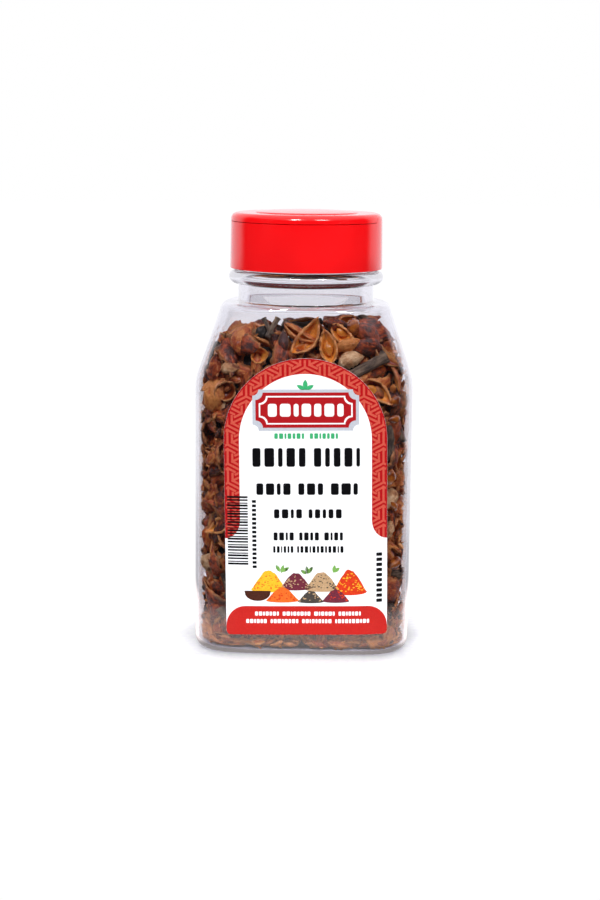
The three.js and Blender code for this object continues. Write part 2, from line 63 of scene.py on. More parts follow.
def linear(code: str) -> tuple[float, float, float, float]:
    """Turns an sRGB hex colour to the linear values that shaders take.

    Args:
        code: A colour such as "#c81e24".

    Returns:
        Red, green, blue and an alpha of 1.
    """
    parts = [int(code[i : i + 2], 16) / 255 for i in (1, 3, 5)]
    red, green, blue = (p / 12.92 if p <= 0.04045 else ((p + 0.055) / 1.055) ** 2.4 for p in parts)
    return red, green, blue, 1.0


def add_node(
    tree: bpy.types.NodeTree,
    kind: str,
    inputs: dict[str | int, object] | None = None,
    stops: Sequence[tuple[float, str]] = (),
    **settings: object,
) -> bpy.types.Node:
    """Adds a node with its settings and links.

    Args:
        tree: The material's node tree.
        kind: Blender's name of the node type, without its ShaderNode.
        inputs: A value, or the output socket to link, for each input by name or number.
        stops: Places and hex colours along a colour ramp.
        settings: Values for the node's own attributes.

    Returns:
        The new node.
    """
    node = tree.nodes.new("ShaderNode" + kind)
    for name, value in settings.items():
        setattr(node, name, value)
    for key, value in (inputs or {}).items():
        if isinstance(value, bpy.types.NodeSocket):
            tree.links.new(value, node.inputs[key])
        else:
            node.inputs[key].default_value = value
    for i, (place, code) in enumerate(stops):
        spots = node.color_ramp.elements
        spot = spots[i] if i < 2 else spots.new(place)
        spot.position = place
        spot.color = linear(code)
    return node


def new_material(name: str) -> tuple[bpy.types.Material, Callable[..., bpy.types.Node]]:
    """Makes an empty node material.

    Args:
        name: Its name.

    Returns:
        The material, and add_node for its tree.
    """
    material = bpy.data.materials.new(name)
    material.use_nodes = True
    material.node_tree.nodes.clear()
    return material, partial(add_node, material.node_tree)


@dataclass
class Form:
    """A closed surface held as arrays.

    Attributes:
        points: Corners in millimetres, one row each.
        quads: Corner numbers of the four-sided faces.
        triangles: Corner numbers of the three-sided faces.
        quad_finish: Number of the finish on each four-sided face.
        triangle_finish: Number of the finish on each three-sided face.
        shades: Values at the corners that a finish reads, by name.
    """

    points: Array
    quads: Array
    triangles: Array
    quad_finish: Array
    triangle_finish: Array
    shades: dict[str, Array] = field(default_factory=dict)

    def turned(self, turn: Array, place: Array) -> "Form":
        """Returns the form turned by a 3 by 3 matrix and then moved."""
        return replace(self, points=self.points @ turn.T + place)

    def shade(self, **shades: float) -> None:
        """Gives every corner the same value of each shade that is named."""
        for name, value in shades.items():
            self.shades[name] = np.full(len(self.points), value)

    def to_object(self, name: str, materials: Sequence[bpy.types.Material]) -> bpy.types.Object:
        """Writes the form as a smooth mesh object in metres.

        Args:
            name: The piece's name.
            materials: The finishes, in the order of their numbers.

        Returns:
            The object, linked to the scene.
        """
        mesh = bpy.data.meshes.new(name)
        mesh.vertices.add(len(self.points))
        mesh.vertices.foreach_set("co", (self.points * MM).astype(np.float32).ravel())
        corners = np.concatenate([self.quads.ravel(), self.triangles.ravel()])
        mesh.loops.add(len(corners))
        mesh.loops.foreach_set("vertex_index", corners.astype(np.int32))
        quad_starts = np.arange(len(self.quads)) * 4
        starts = np.concatenate([quad_starts, len(self.quads) * 4 + np.arange(len(self.triangles)) * 3])
        mesh.polygons.add(len(starts))
        mesh.polygons.foreach_set("loop_start", starts.astype(np.int32))
        finishes = np.concatenate([self.quad_finish, self.triangle_finish])
        mesh.polygons.foreach_set("material_index", finishes.astype(np.int32))
        mesh.polygons.foreach_set("use_smooth", np.ones(len(starts), dtype=bool))
        for shade, values in self.shades.items():
            kind = "FLOAT_VECTOR" if values.ndim == 2 else "FLOAT"
            layer = mesh.attributes.new(shade, kind, "POINT")
            layer.data.foreach_set("vector" if values.ndim == 2 else "value", values.astype(np.float32).ravel())
        mesh.update(calc_edges=True)
        mesh.validate()
        for material in materials:
            mesh.materials.append(material)
        made = bpy.data.objects.new(name, mesh)
        bpy.context.scene.collection.objects.link(made)
        return made


def loft(rings: Array, first: Sequence[float], last: Sequence[float], finish: int | Array = 0) -> Form:
    """Closes a skin over rings with equal corner counts, ending in a point at each end.

    Args:
        rings: Ring number, corner number and x, y, z.
        first: The point before the first ring.
        last: The point after the last ring.
        finish: A finish number for all of it, or one for each step round.

    Returns:
        The closed form.
    """
    count, sides, _ = rings.shape
    points = np.vstack([[first], rings.reshape(-1, 3), [last]])
    here = np.arange(sides)
    there = (here + 1) % sides
    rows = 1 + np.arange(count - 1)[:, None] * sides
    quads = np.stack([rows + here, rows + there, rows + sides + there, rows + sides + here], axis=-1)
    final = 1 + (count - 1) * sides
    start_fan = np.stack([np.zeros(sides, int), 1 + there, 1 + here], axis=-1)
    end_fan = np.stack([final + here, final + there, np.full(sides, len(points) - 1)], axis=-1)
    around = np.full(sides, finish) if isinstance(finish, int) else finish
    triangles = np.vstack([start_fan, end_fan])
    return Form(points, quads.reshape(-1, 4), triangles, np.tile(around, count - 1), np.tile(around, 2))


def joined(forms: Sequence[Form]) -> Form:
    """Puts many forms into one, each still closed in itself.

    Args:
        forms: The forms, all with the same shades.

    Returns:
        One form.
    """
    offsets = np.cumsum([0] + [len(form.points) for form in forms[:-1]])
    shades = {name: np.concatenate([form.shades[name] for form in forms]) for name in forms[0].shades}
    return Form(
        np.vstack([form.points for form in forms]),
        np.vstack([form.quads + offset for form, offset in zip(forms, offsets)]),
        np.vstack([form.triangles + offset for form, offset in zip(forms, offsets)]),
        np.concatenate([form.quad_finish for form in forms]),
        np.concatenate([form.triangle_finish for form in forms]),
        shades,
    )


def mount(piece: bpy.types.Object, nodes: Iterable[str] = ()) -> None:
    """Fixes a piece to the jar and hides the CAD nodes that it stands for.

    Args:
        piece: The piece.
        nodes: The CAD nodes that it stands for.
    """
    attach(piece, "root")
    if nodes:
        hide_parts(*nodes)
    log.info("%s: %d faces", piece.name, len(piece.data.polygons))


# ---------------------------------------------------------------- finishes


@dataclass(frozen=True)
class BlownPet:
    """Stretch-blown PET: water clear, very smooth, with the slow ripple that blowing leaves in the wall."""

    tint: str = "#f6f5fa"
    shadow_tint: str = "#f7f6fa"
    ior: float = 1.575
    roughness: float = 0.015
    ripple: float = 22.0  # millimetres from wave to wave
    ripple_strength: float = 0.02
    longest_path: float = 5.5
    painted_trapped_glow: float = 0.8

    def build(self) -> bpy.types.Material:
        """Builds the material.

        Its shadow rays pass straight on, so that the filling is lit through the wall. Where a ray has bounced
        more than longest_path times, the wall glows as bright as the white room: painted light in place of light
        that runs on inside it.

        Returns:
            The material.
        """
        material, add = new_material("blown_pet")
        spot = add("TexCoord")
        sizes = {"Vector": spot.outputs["Object"], "Scale": 1 / (self.ripple * MM), "Detail": 1.0}
        waves = add("TexNoise", sizes)
        bump = add("Bump", {"Strength": self.ripple_strength, "Distance": 0.01, "Height": waves.outputs[0]})
        looks = {
            "Base Color": linear(self.tint),
            "Roughness": self.roughness,
            "IOR": self.ior,
            "Transmission Weight": 1.0,
            "Normal": bump.outputs[0],
        }
        plastic = add("BsdfPrincipled", looks)
        path = add("LightPath")
        clear = add("BsdfTransparent", {"Color": linear(self.shadow_tint)})
        # Painted glow: past the longest path the wall emits light, so that rays cut off at the bounce limit
        # don't go black.
        room = add("Emission", {"Color": linear(self.tint), "Strength": self.painted_trapped_glow})
        trapped = add("Math", {0: path.outputs["Ray Depth"], 1: self.longest_path}, operation="GREATER_THAN")
        lit = add("MixShader", {0: trapped.outputs[0], 1: plastic.outputs[0], 2: room.outputs[0]})
        shown = add("MixShader", {0: path.outputs["Is Shadow Ray"], 1: lit.outputs[0], 2: clear.outputs[0]})
        add("OutputMaterial", {"Surface": shown.outputs[0]})
        return material


@dataclass(frozen=True)
class MouldedPolypropylene:
    """Injection-moulded red PP: polished, with a faint orange-peel, and light soaks into it a little.

    Attributes:
        colour: Its usual red.
        deep: The red where the pigment flowed thicker.
        ior: Index of the plastic and of its skin, a little under PP's 1.49.
        roughness: Under the skin.
        polish: Share of the smooth skin from the polished mould.
        glow: Share of the light that soaks in.
        soak: How deep it soaks in, in millimetres.
        soak_reach: Shares of that depth that red, green and blue reach.
        skin_roughness: Of the skin.
        cloud: Millimetres between clouds of deeper red.
        peel: Millimetres between the bumps of the orange-peel.
        peel_relief: How strongly they stand up.
    """

    colour: str = "#ea0c12"
    deep: str = "#d8080e"
    ior: float = 1.4
    roughness: float = 0.16
    polish: float = 0.5
    glow: float = 0.2
    soak: float = 1.5
    soak_reach: tuple[float, float, float] = (1.0, 0.25, 0.15)
    skin_roughness: float = 0.05
    cloud: float = 30.0
    peel: float = 1.4
    peel_relief: float = 0.008

    def build(self) -> bpy.types.Material:
        """Builds the material.

        Returns:
            The material.
        """
        material, add = new_material("moulded_polypropylene")
        spot = add("TexCoord")
        sizes = {"Vector": spot.outputs["Object"], "Scale": 1 / (self.cloud * MM), "Detail": 2.0}
        cloud = add("TexNoise", sizes)
        tone = add("ValToRGB", {0: cloud.outputs[0]}, stops=[(0.3, self.deep), (0.7, self.colour)])
        apart = add("VectorMath", {0: spot.outputs["Object"], 1: (3.0, 3.0, 3.0)})
        peel = add("TexNoise", {"Vector": apart.outputs[0], "Scale": 1 / (self.peel * MM), "Detail": 1.0})
        bump = add("Bump", {"Strength": self.peel_relief, "Distance": MM, "Height": peel.outputs[0]})
        looks = {
            "Base Color": tone.outputs[0],
            "Roughness": self.roughness,
            "IOR": self.ior,
            "Coat Weight": self.polish,
            "Coat IOR": self.ior,
            "Coat Roughness": self.skin_roughness,
            "Subsurface Weight": self.glow,
            "Subsurface Radius": self.soak_reach,
            "Subsurface Scale": self.soak * MM,
            "Normal": bump.outputs[0],
        }
        surface = add("BsdfPrincipled", looks)
        add("OutputMaterial", {"Surface": surface.outputs[0]})
        return material


@dataclass(frozen=True)
class CoatedPaper:
    """Coated label paper, bare or under offset ink: satin, with the fine tooth of its fibres."""

    name: str
    colour: str
    shade: str
    roughness: float = 0.42
    ior: float = 1.5
    sheen: float = 0.15
    fibre: float = 0.5  # millimetres; real fibres are finer, these are as coarse as they need to be to show
    relief: float = 0.08

    def build(self) -> bpy.types.Material:
        """Builds the material.

        Returns:
            The material.
        """
        material, add = new_material(self.name)
        spot = add("TexCoord")
        sizes = {"Vector": spot.outputs["Object"], "Scale": 1 / (self.fibre * MM), "Detail": 3.0}
        fibres = add("TexNoise", sizes)
        tone = add("ValToRGB", {0: fibres.outputs[0]}, stops=[(0.35, self.shade), (0.65, self.colour)])
        bump = add("Bump", {"Strength": self.relief, "Distance": 0.4 * MM, "Height": fibres.outputs[0]})
        looks = {
            "Base Color": tone.outputs[0],
            "Roughness": self.roughness,
            "IOR": self.ior,
            "Specular IOR Level": self.sheen,
            "Normal": bump.outputs[0],
        }
        surface = add("BsdfPrincipled", looks)
        add("OutputMaterial", {"Surface": surface.outputs[0]})
        return material


@dataclass(frozen=True)
class DriedHusk:
    """A surface of the dried pod: woody, drawn from dark to light by each piece's tone, its own mottling and its
    wrinkles.

    Attributes:
        name: The finish's name.
        dark: Colour of the darkest pieces.
        middle: Colour of most pieces.
        light: Colour of the palest pieces.
        edge: Colour of the broken seam edges.
        roughness: From waxy to dry.
        wrinkle: Spacing of the wrinkles in millimetres.
        relief: How strongly the wrinkles stand up.
        stretch: How much longer than wide the wrinkles are, along the pod.
        coat: Share of the waxy film on top.
        coat_roughness: Roughness of that film.
        ior: Index of the woody husk.
        mottle: Mottles in a millimetre.
        mottle_weight: How much the mottling changes the colour.
        crease_shade_and_wear: How much the wrinkles change it: darker in the creases as painted shade, paler on
            the ridges as wear.
        middle_level: What is taken off, so that a middling tone gets the middle colour.
    """

    name: str
    dark: str
    middle: str
    light: str
    edge: str
    roughness: float
    wrinkle: float
    relief: float
    stretch: float = 2.5
    coat: float = 0.0
    coat_roughness: float = 0.12
    ior: float = 1.5
    mottle: float = 0.28
    mottle_weight: float = 1.1
    crease_shade_and_wear: float = 1.7
    middle_level: float = 0.8

    def build(self) -> bpy.types.Material:
        """Builds the material from the pieces' tone, rim and fibre values.

        Returns:
            The material.
        """
        material, add = new_material(self.name)
        tone = add("Attribute", attribute_name="tone")
        rim = add("Attribute", attribute_name="rim")
        fibre = add("Attribute", attribute_name="fibre")
        squeeze = (1 / self.stretch, 1.0, 1.0)
        along = add("VectorMath", {0: fibre.outputs["Vector"], 1: squeeze}, operation="MULTIPLY")
        fine = {"Vector": along.outputs[0], "Scale": 1 / self.wrinkle, "Detail": 5.0, "Roughness": 0.65}
        creases = add("TexNoise", fine)
        mottle = add("TexNoise", {"Vector": fibre.outputs["Vector"], "Scale": self.mottle, "Detail": 2.0})
        near = {0: mottle.outputs[0], 1: self.mottle_weight, 2: -self.mottle_weight / 2}
        swing = add("Math", near, operation="MULTIPLY_ADD")
        # Painted shade: the wrinkle noise that bumps the surface also darkens its creases, while the ridges come
        # out paler as wear.
        sharp = {0: creases.outputs[0], 1: self.crease_shade_and_wear, 2: swing.outputs[0]}
        spread = add("Math", sharp, operation="MULTIPLY_ADD")
        level = add("Math", {0: spread.outputs[0], 1: tone.outputs["Fac"]}, operation="ADD")
        centred = add("Math", {0: level.outputs[0], 1: self.middle_level}, operation="SUBTRACT")
        stops = [(0.12, self.dark), (0.5, self.middle), (0.92, self.light)]
        body = add("ValToRGB", {0: centred.outputs[0]}, stops=stops)
        worn = add("Math", {0: rim.outputs["Fac"], 1: creases.outputs[0]}, operation="MULTIPLY")
        colour = add("Mix", {0: worn.outputs[0], 6: body.outputs[0], 7: linear(self.edge)}, data_type="RGBA")
        bump = add("Bump", {"Strength": self.relief, "Distance": MM, "Height": creases.outputs[0]})
        looks = {
            "Base Color": colour.outputs[2],
            "Roughness": self.roughness,
            "IOR": self.ior,
            "Coat Weight": self.coat,
            "Coat Roughness": self.coat_roughness,
            "Normal": bump.outputs[0],
        }
        surface = add("BsdfPrincipled", looks)
        add("OutputMaterial", {"Surface": surface.outputs[0]})
        return material


@dataclass(frozen=True)
class MatteSweep:
    """Matte white studio paper for the floor: plain and evenly bright away from the jar, as if lit from below.

    Attributes:
        colour: The paper's shaded tint.
        fibre: Millimetres between its fibres, coarser than real ones so that they show.
        foot: Half the jar's footprint in metres; the height is out of reach.
        painted_foot_shadow: How dark the painted shadow makes the paper where the jar stands.
        foot_reach: How far that painted shadow reaches, in metres.
        lit_reach: How far from the jar the paper is fully lit, in metres.
        lit_strength: How bright it is where it is fully lit.
        glow: Tint of a glowing patch on the paper round the jar that only glossy rays see: a painted reflection
            for the jar's wall.
        painted_reflection_strength: How bright that painted reflection is.
        painted_reflection_start: How bright the painted reflection is right under the wall.
        painted_reflection_rise: How far from the jar it reaches its full brightness, in metres.
        painted_reflection_from: Where the painted reflection starts to fade, in metres from the jar's middle.
        painted_reflection_to: Where it ends.
    """

    colour: str = "#f6f4fb"
    fibre: float = 2.0
    foot: tuple[float, float, float] = (0.036, 0.0255, 1.0)
    painted_foot_shadow: float = 0.82
    foot_reach: float = 0.010
    lit_reach: float = 0.026
    lit_strength: float = 1.02
    glow: str = "#fff4f2"
    painted_reflection_strength: float = 1.4
    painted_reflection_start: float = 0.3
    painted_reflection_rise: float = 0.012
    painted_reflection_from: float = 0.078
    painted_reflection_to: float = 0.112

    def build(self) -> bpy.types.Material:
        """Builds the material: a painted shadow round the jar's foot, and a glowing patch there that only glossy
        rays see, a painted reflection for the jar's wall.

        Returns:
            The material.
        """
        material, add = new_material("matte_sweep")
        spot = add("TexCoord")
        sizes = {"Vector": spot.outputs["Object"], "Scale": 1 / (self.fibre * MM), "Detail": 2.0}
        fibres = add("TexNoise", sizes)
        tone = add("ValToRGB", {0: fibres.outputs[0]}, stops=[(0.3, self.colour), (0.7, "#ffffff")])
        aside = add("VectorMath", {0: spot.outputs["Object"]}, operation="ABSOLUTE")
        past = add("VectorMath", {0: aside.outputs[0], 1: self.foot}, operation="SUBTRACT")
        outside = add("VectorMath", {0: past.outputs[0], 1: (0, 0, 0)}, operation="MAXIMUM")
        gap = add("VectorMath", {0: outside.outputs[0]}, operation="LENGTH")
        # Painted shadow: the paper's colour is darkened close round the jar's footprint.
        near = {"Value": gap.outputs["Value"], "From Max": self.foot_reach, "To Min": self.painted_foot_shadow}
        shade = add("MapRange", near, interpolation_type="SMOOTHSTEP")
        darkened = {0: 1.0, 6: tone.outputs[0], 7: shade.outputs[0]}
        colour = add("Mix", darkened, data_type="RGBA", blend_type="MULTIPLY")
        looks = {"Base Color": colour.outputs[2], "Roughness": 0.9, "Specular IOR Level": 0.1}
        paper = add("BsdfPrincipled", looks)
        away = add("VectorMath", {0: spot.outputs["Object"]}, operation="LENGTH")
        fade = {"Value": gap.outputs["Value"], "From Max": self.lit_reach}
        share = add("MapRange", fade, interpolation_type="SMOOTHSTEP")
        lit = add("Emission", {"Color": (1, 1, 1, 1), "Strength": self.lit_strength})
        shown = add("MixShader", {0: share.outputs[0], 1: paper.outputs[0], 2: lit.outputs[0]})
        # Painted reflection: glossy rays see a glowing patch round the foot instead of the paper, dimmer right
        # under the wall and fading at its rim.
        path = add("LightPath")
        patch = {"Value": away.outputs["Value"], "From Min": self.painted_reflection_from, "From Max": self.painted_reflection_to}
        rim = add("MapRange", patch, interpolation_type="SMOOTHSTEP")
        gone = add("BsdfTransparent")
        rise = {"From Max": self.painted_reflection_rise, "To Min": self.painted_reflection_start, "To Max": self.painted_reflection_strength}
        lift = add("MapRange", {"Value": gap.outputs["Value"], **rise}, interpolation_type="SMOOTHSTEP")
        glow = add("Emission", {"Color": linear(self.glow), "Strength": lift.outputs[0]})
        painted_reflection = add("MixShader", {0: rim.outputs[0], 1: glow.outputs[0], 2: gone.outputs[0]})
        mirrored = add("Math", {0: path.outputs["Glossy Depth"], 1: 0.5}, operation="GREATER_THAN")
        surface = add("MixShader", {0: mirrored.outputs[0], 1: shown.outputs[0], 2: painted_reflection.outputs[0]})
        add("OutputMaterial", {"Surface": surface.outputs[0]})
        return material


# ---------------------------------------------------------------- jar


@dataclass(frozen=True)
class Section:
    """A level cut through the body's wall: a rounded rectangle drawn as a superellipse."""

    half_width: float
    half_depth: float
    squareness: float

    def ring(self, inset: float, z: float, sides: int) -> Array:
        """Walks once round the section in equal steps from the +X side.

        Args:
            inset: How far the section is pulled in.
            z: Its height.
            sides: Number of steps.

        Returns:
            A point for each step.
        """
        turn = np.linspace(0, FULL_TURN, RING_SAMPLES + 1)
        power = 2 / self.squareness
        x = (self.half_width - inset) * np.sign(np.cos(turn)) * np.abs(np.cos(turn)) ** power
        y = (self.half_depth - inset) * np.sign(np.sin(turn)) * np.abs(np.sin(turn)) ** power
        walked = np.concatenate([[0], np.cumsum(np.hypot(np.diff(x), np.diff(y)))])
        stops = np.arange(sides) * walked[-1] / sides
        return np.stack([np.interp(stops, walked, x), np.interp(stops, walked, y), np.full(sides, z)], axis=1)


@dataclass(frozen=True)
class JarSizes:
    """The jar's driving sizes."""

    half_width: float = 39.5
    half_depth: float = 29.0
    squareness: float = 5.0
    heel_radius: float = 4.5
    standing_ring: float = 2.2
    push_up: float = 4.2
    wall: float = 1.0
    floor: float = 1.2
    side_taper: float = 99.5
    face_taper: float = 111.0
    shoulder: float = 123.5
    shoulder_half_width: float = 31.4
    shoulder_half_depth: float = 26.6
    shoulder_squareness: float = 3.0
    shoulder_radius: float = 3.4
    squareness_drop: float = 0.6
    deck_margin: float = 0.6
    ease: float = 7.0
    neck_fillet: float = 0.8
    neck_radius: float = 24.7
    neck_top: float = 133.5
    bead_radius: float = 28.2
    bead_top: float = 138.3
    finish_radius: float = 25.3
    bore_radius: float = 23.8
    rim_bevel: float = 0.4
    top: float = 154.3

    def lean(self, z: float, bottom: float) -> float:
        """Rises from 0 below a height to 1 at the shoulder, with a rolled start.

        Args:
            z: Height on the wall.
            bottom: Height where the lean starts.

        Returns:
            The share of the lean.
        """
        ease = self.ease / 2
        run = self.shoulder - bottom
        if z <= bottom - ease:
            return 0.0
        if z < bottom + ease:
            return (z - bottom + ease) ** 2 / (4 * ease * run)
        return (z - bottom) / run

    def section(self, z: float) -> Section:
        """Gives the outer wall's section at a height of the body.

        Args:
            z: The height.

        Returns:
            The section.
        """
        side = self.lean(z, self.side_taper)
        face = self.lean(z, self.face_taper)
        return Section(
            self.half_width + (self.shoulder_half_width - self.half_width) * side,
            self.half_depth + (self.shoulder_half_depth - self.half_depth) * face,
            self.squareness + (self.shoulder_squareness - self.squareness) * side,
        )

    def front(self, x: float, z: float, inset: float = 0.0) -> float:
        """Gives the y of the front wall, or of a face behind it, at a place on it.

        Args:
            x: Place across.
            z: Height.
            inset: How far behind the wall the face lies.

        Returns:
            The y there.
        """
        section = self.section(z)
        share = min(abs(x) / (section.half_width - inset), 1.0)
        return -(section.half_depth - inset) * (1 - share**section.squareness) ** (1 / section.squareness)


JAR = JarSizes()


@dataclass
class Jar:
    """The clear blow-moulded jar, one closed skin over its outside and its inside."""

    sizes: JarSizes = JAR
    finish: BlownPet = BlownPet()
    sides: int = 240
    arc_steps: int = 9
    fillet_steps: int = 7
    bead_steps: int = 14
    straight_rings: tuple[float, ...] = (20.0, 45.0, 70.0, 88.0)
    leaning_from: float = 94.0
    leaning_step: float = 1.5
    sharp: float = 28.0  # degrees; softer corners are shaded smooth

    def round_ring(self, radius: float, z: float) -> Array:
        """Walks round a circle at a height."""
        return Section(radius, radius, 2.0).ring(0, z, self.sides)

    def arc(self, low: float, high: float, steps: int) -> Array:
        """Gives angles in radians from one angle in degrees to another."""
        return np.radians(np.linspace(low, high, steps + 1))

    def push_up_rings(self, lift: float) -> list[Array]:
        """Rings of the dome under the base, from the middle outwards.

        Args:
            lift: How far the face is above the underside.

        Returns:
            The rings.
        """
        section = self.sizes.section(0)
        reach = self.sizes.heel_radius + self.sizes.standing_ring
        rings = []
        for share in (0.12, 0.3, 0.45, 0.6, 0.72, 0.84, 0.93, 1.0):
            width = (section.half_width - reach) * share
            depth = (section.half_depth - reach) * share
            z = lift + self.sizes.push_up * (1 - share**3)
            rings.append(Section(width, depth, section.squareness).ring(0, z, self.sides))
        return rings

    def heel_rings(self, radius: float, centre: float, inset: float) -> list[Array]:
        """Rings of the rounded bottom edge, from the standing ring up to the wall.

        Args:
            radius: The edge's radius.
            centre: Height of its middle.
            inset: How far the face is behind the wall.

        Returns:
            The rings.
        """
        section = self.sizes.section(0)
        angles = self.arc(-90, 0, self.arc_steps)
        return [
            section.ring(inset + radius * (1 - math.cos(a)), centre + radius * math.sin(a), self.sides)
            for a in angles
        ]

    def wall_rings(self, inset: float) -> list[Array]:
        """Rings of the wall from above the heel to the shoulder, close together where it leans in.

        Args:
            inset: How far the face is behind the outer wall.

        Returns:
            The rings.
        """
        leaning = np.arange(self.leaning_from, self.sizes.shoulder, self.leaning_step)
        heights = [*self.straight_rings, *leaning, self.sizes.shoulder]
        return [self.sizes.section(z).ring(inset, z, self.sides) for z in heights]

    def shoulder_rings(self, inset: float) -> list[Array]:
        """Rings of the shoulder's rounded edge, easing from the wall's section towards the round neck.

        Args:
            inset: How far the face is behind the outer wall.

        Returns:
            The rings.
        """
        sizes = self.sizes
        radius = sizes.shoulder_radius - inset
        deck_depth = sizes.neck_radius + sizes.deck_margin
        rings = []
        for a in self.arc(0, 90, self.arc_steps)[1:]:
            drawn = 1 - math.cos(a)
            depth_drawn = (sizes.shoulder_half_depth - deck_depth) * drawn
            section = Section(
                sizes.shoulder_half_width - inset - radius * drawn,
                sizes.shoulder_half_depth - inset - depth_drawn,
                sizes.shoulder_squareness - sizes.squareness_drop * drawn,
            )
            rings.append(section.ring(0, sizes.shoulder + radius * math.sin(a), self.sides))
        return rings

    def neck_rings(self) -> list[Array]:
        """Rings of the neck, the transfer bead and the finish that the cap screws on.

        Returns:
            The rings.
        """
        sizes = self.sizes
        deck = sizes.shoulder + sizes.shoulder_radius
        middle = (sizes.neck_top + sizes.bead_top) / 2
        half = (sizes.bead_top - sizes.neck_top) / 2
        fillet = sizes.neck_fillet
        turns = self.arc(0, 90, self.fillet_steps)
        foot = [(fillet * (1 - math.sin(a)), fillet * (1 - math.cos(a))) for a in turns]
        rings = [self.round_ring(sizes.neck_radius + out, deck + up) for out, up in foot]
        rings += [self.round_ring(sizes.neck_radius, z) for z in (sizes.neck_top - 2, sizes.neck_top - 0.3)]
        for a in self.arc(-90, 90, self.bead_steps):
            radius = sizes.bead_radius - half + half * math.cos(a)
            rings.append(self.round_ring(radius, middle + half * math.sin(a)))
        rings.append(self.round_ring(sizes.finish_radius, sizes.bead_top + 0.2))
        rings.append(self.round_ring(sizes.finish_radius, sizes.top - sizes.rim_bevel))
        rings.append(self.round_ring(sizes.finish_radius - sizes.rim_bevel, sizes.top))
        return rings

    def inside_rings(self) -> list[Array]:
        """Rings of the inside, from the inner heel up to the rim.

        Returns:
            The rings.
        """
        sizes = self.sizes
        heel = sizes.heel_radius
        deck = sizes.shoulder + sizes.shoulder_radius - sizes.wall
        rings = self.heel_rings(heel - sizes.wall, heel + sizes.floor - sizes.wall, sizes.wall)
        rings += self.wall_rings(sizes.wall)
        rings += self.shoulder_rings(sizes.wall)
        bore = [(0.3, 0.1), (0.0, 0.8), (0.0, 4.0), (0.0, 12.0)]
        rings += [self.round_ring(sizes.bore_radius + out, deck + up) for out, up in bore]
        rings.append(self.round_ring(sizes.bore_radius, sizes.top - sizes.rim_bevel))
        rings.append(self.round_ring(sizes.bore_radius + sizes.rim_bevel, sizes.top))
        return rings

    def build(self) -> None:
        """Builds the jar and dresses it."""
        sizes = self.sizes
        rings = self.push_up_rings(0)
        rings += self.heel_rings(sizes.heel_radius, sizes.heel_radius, 0)
        rings += self.wall_rings(0)
        rings += self.shoulder_rings(0)
        rings += self.neck_rings()
        rings += self.inside_rings()[::-1]
        rings += self.push_up_rings(sizes.floor)[::-1]
        underside = (0, 0, sizes.push_up)
        floor_middle = (0, 0, sizes.push_up + sizes.floor)
        body = loft(np.array(rings), underside, floor_middle).to_object("jar_body", [self.finish.build()])
        body.data.set_sharp_from_angle(angle=math.radians(self.sharp))
        mount(body, ["jar"])


# ---------------------------------------------------------------- cap


def blender_cut(target: bpy.types.Object, cutter: bpy.types.Object, operation: str) -> None:
    """Cuts one mesh object with another and throws the cutter away.

    Args:
        target: The object whose mesh is replaced by the result.
        cutter: The object that cuts it.
        operation: Blender's name of the boolean: DIFFERENCE or INTERSECT.
    """
    step = target.modifiers.new("cut", "BOOLEAN")
    step.operation = operation
    step.solver = "EXACT"
    step.object = cutter
    cut = bpy.data.meshes.new_from_object(target.evaluated_get(bpy.context.evaluated_depsgraph_get()))
    target.modifiers.clear()
    target.data = cut
    bpy.data.objects.remove(cutter)


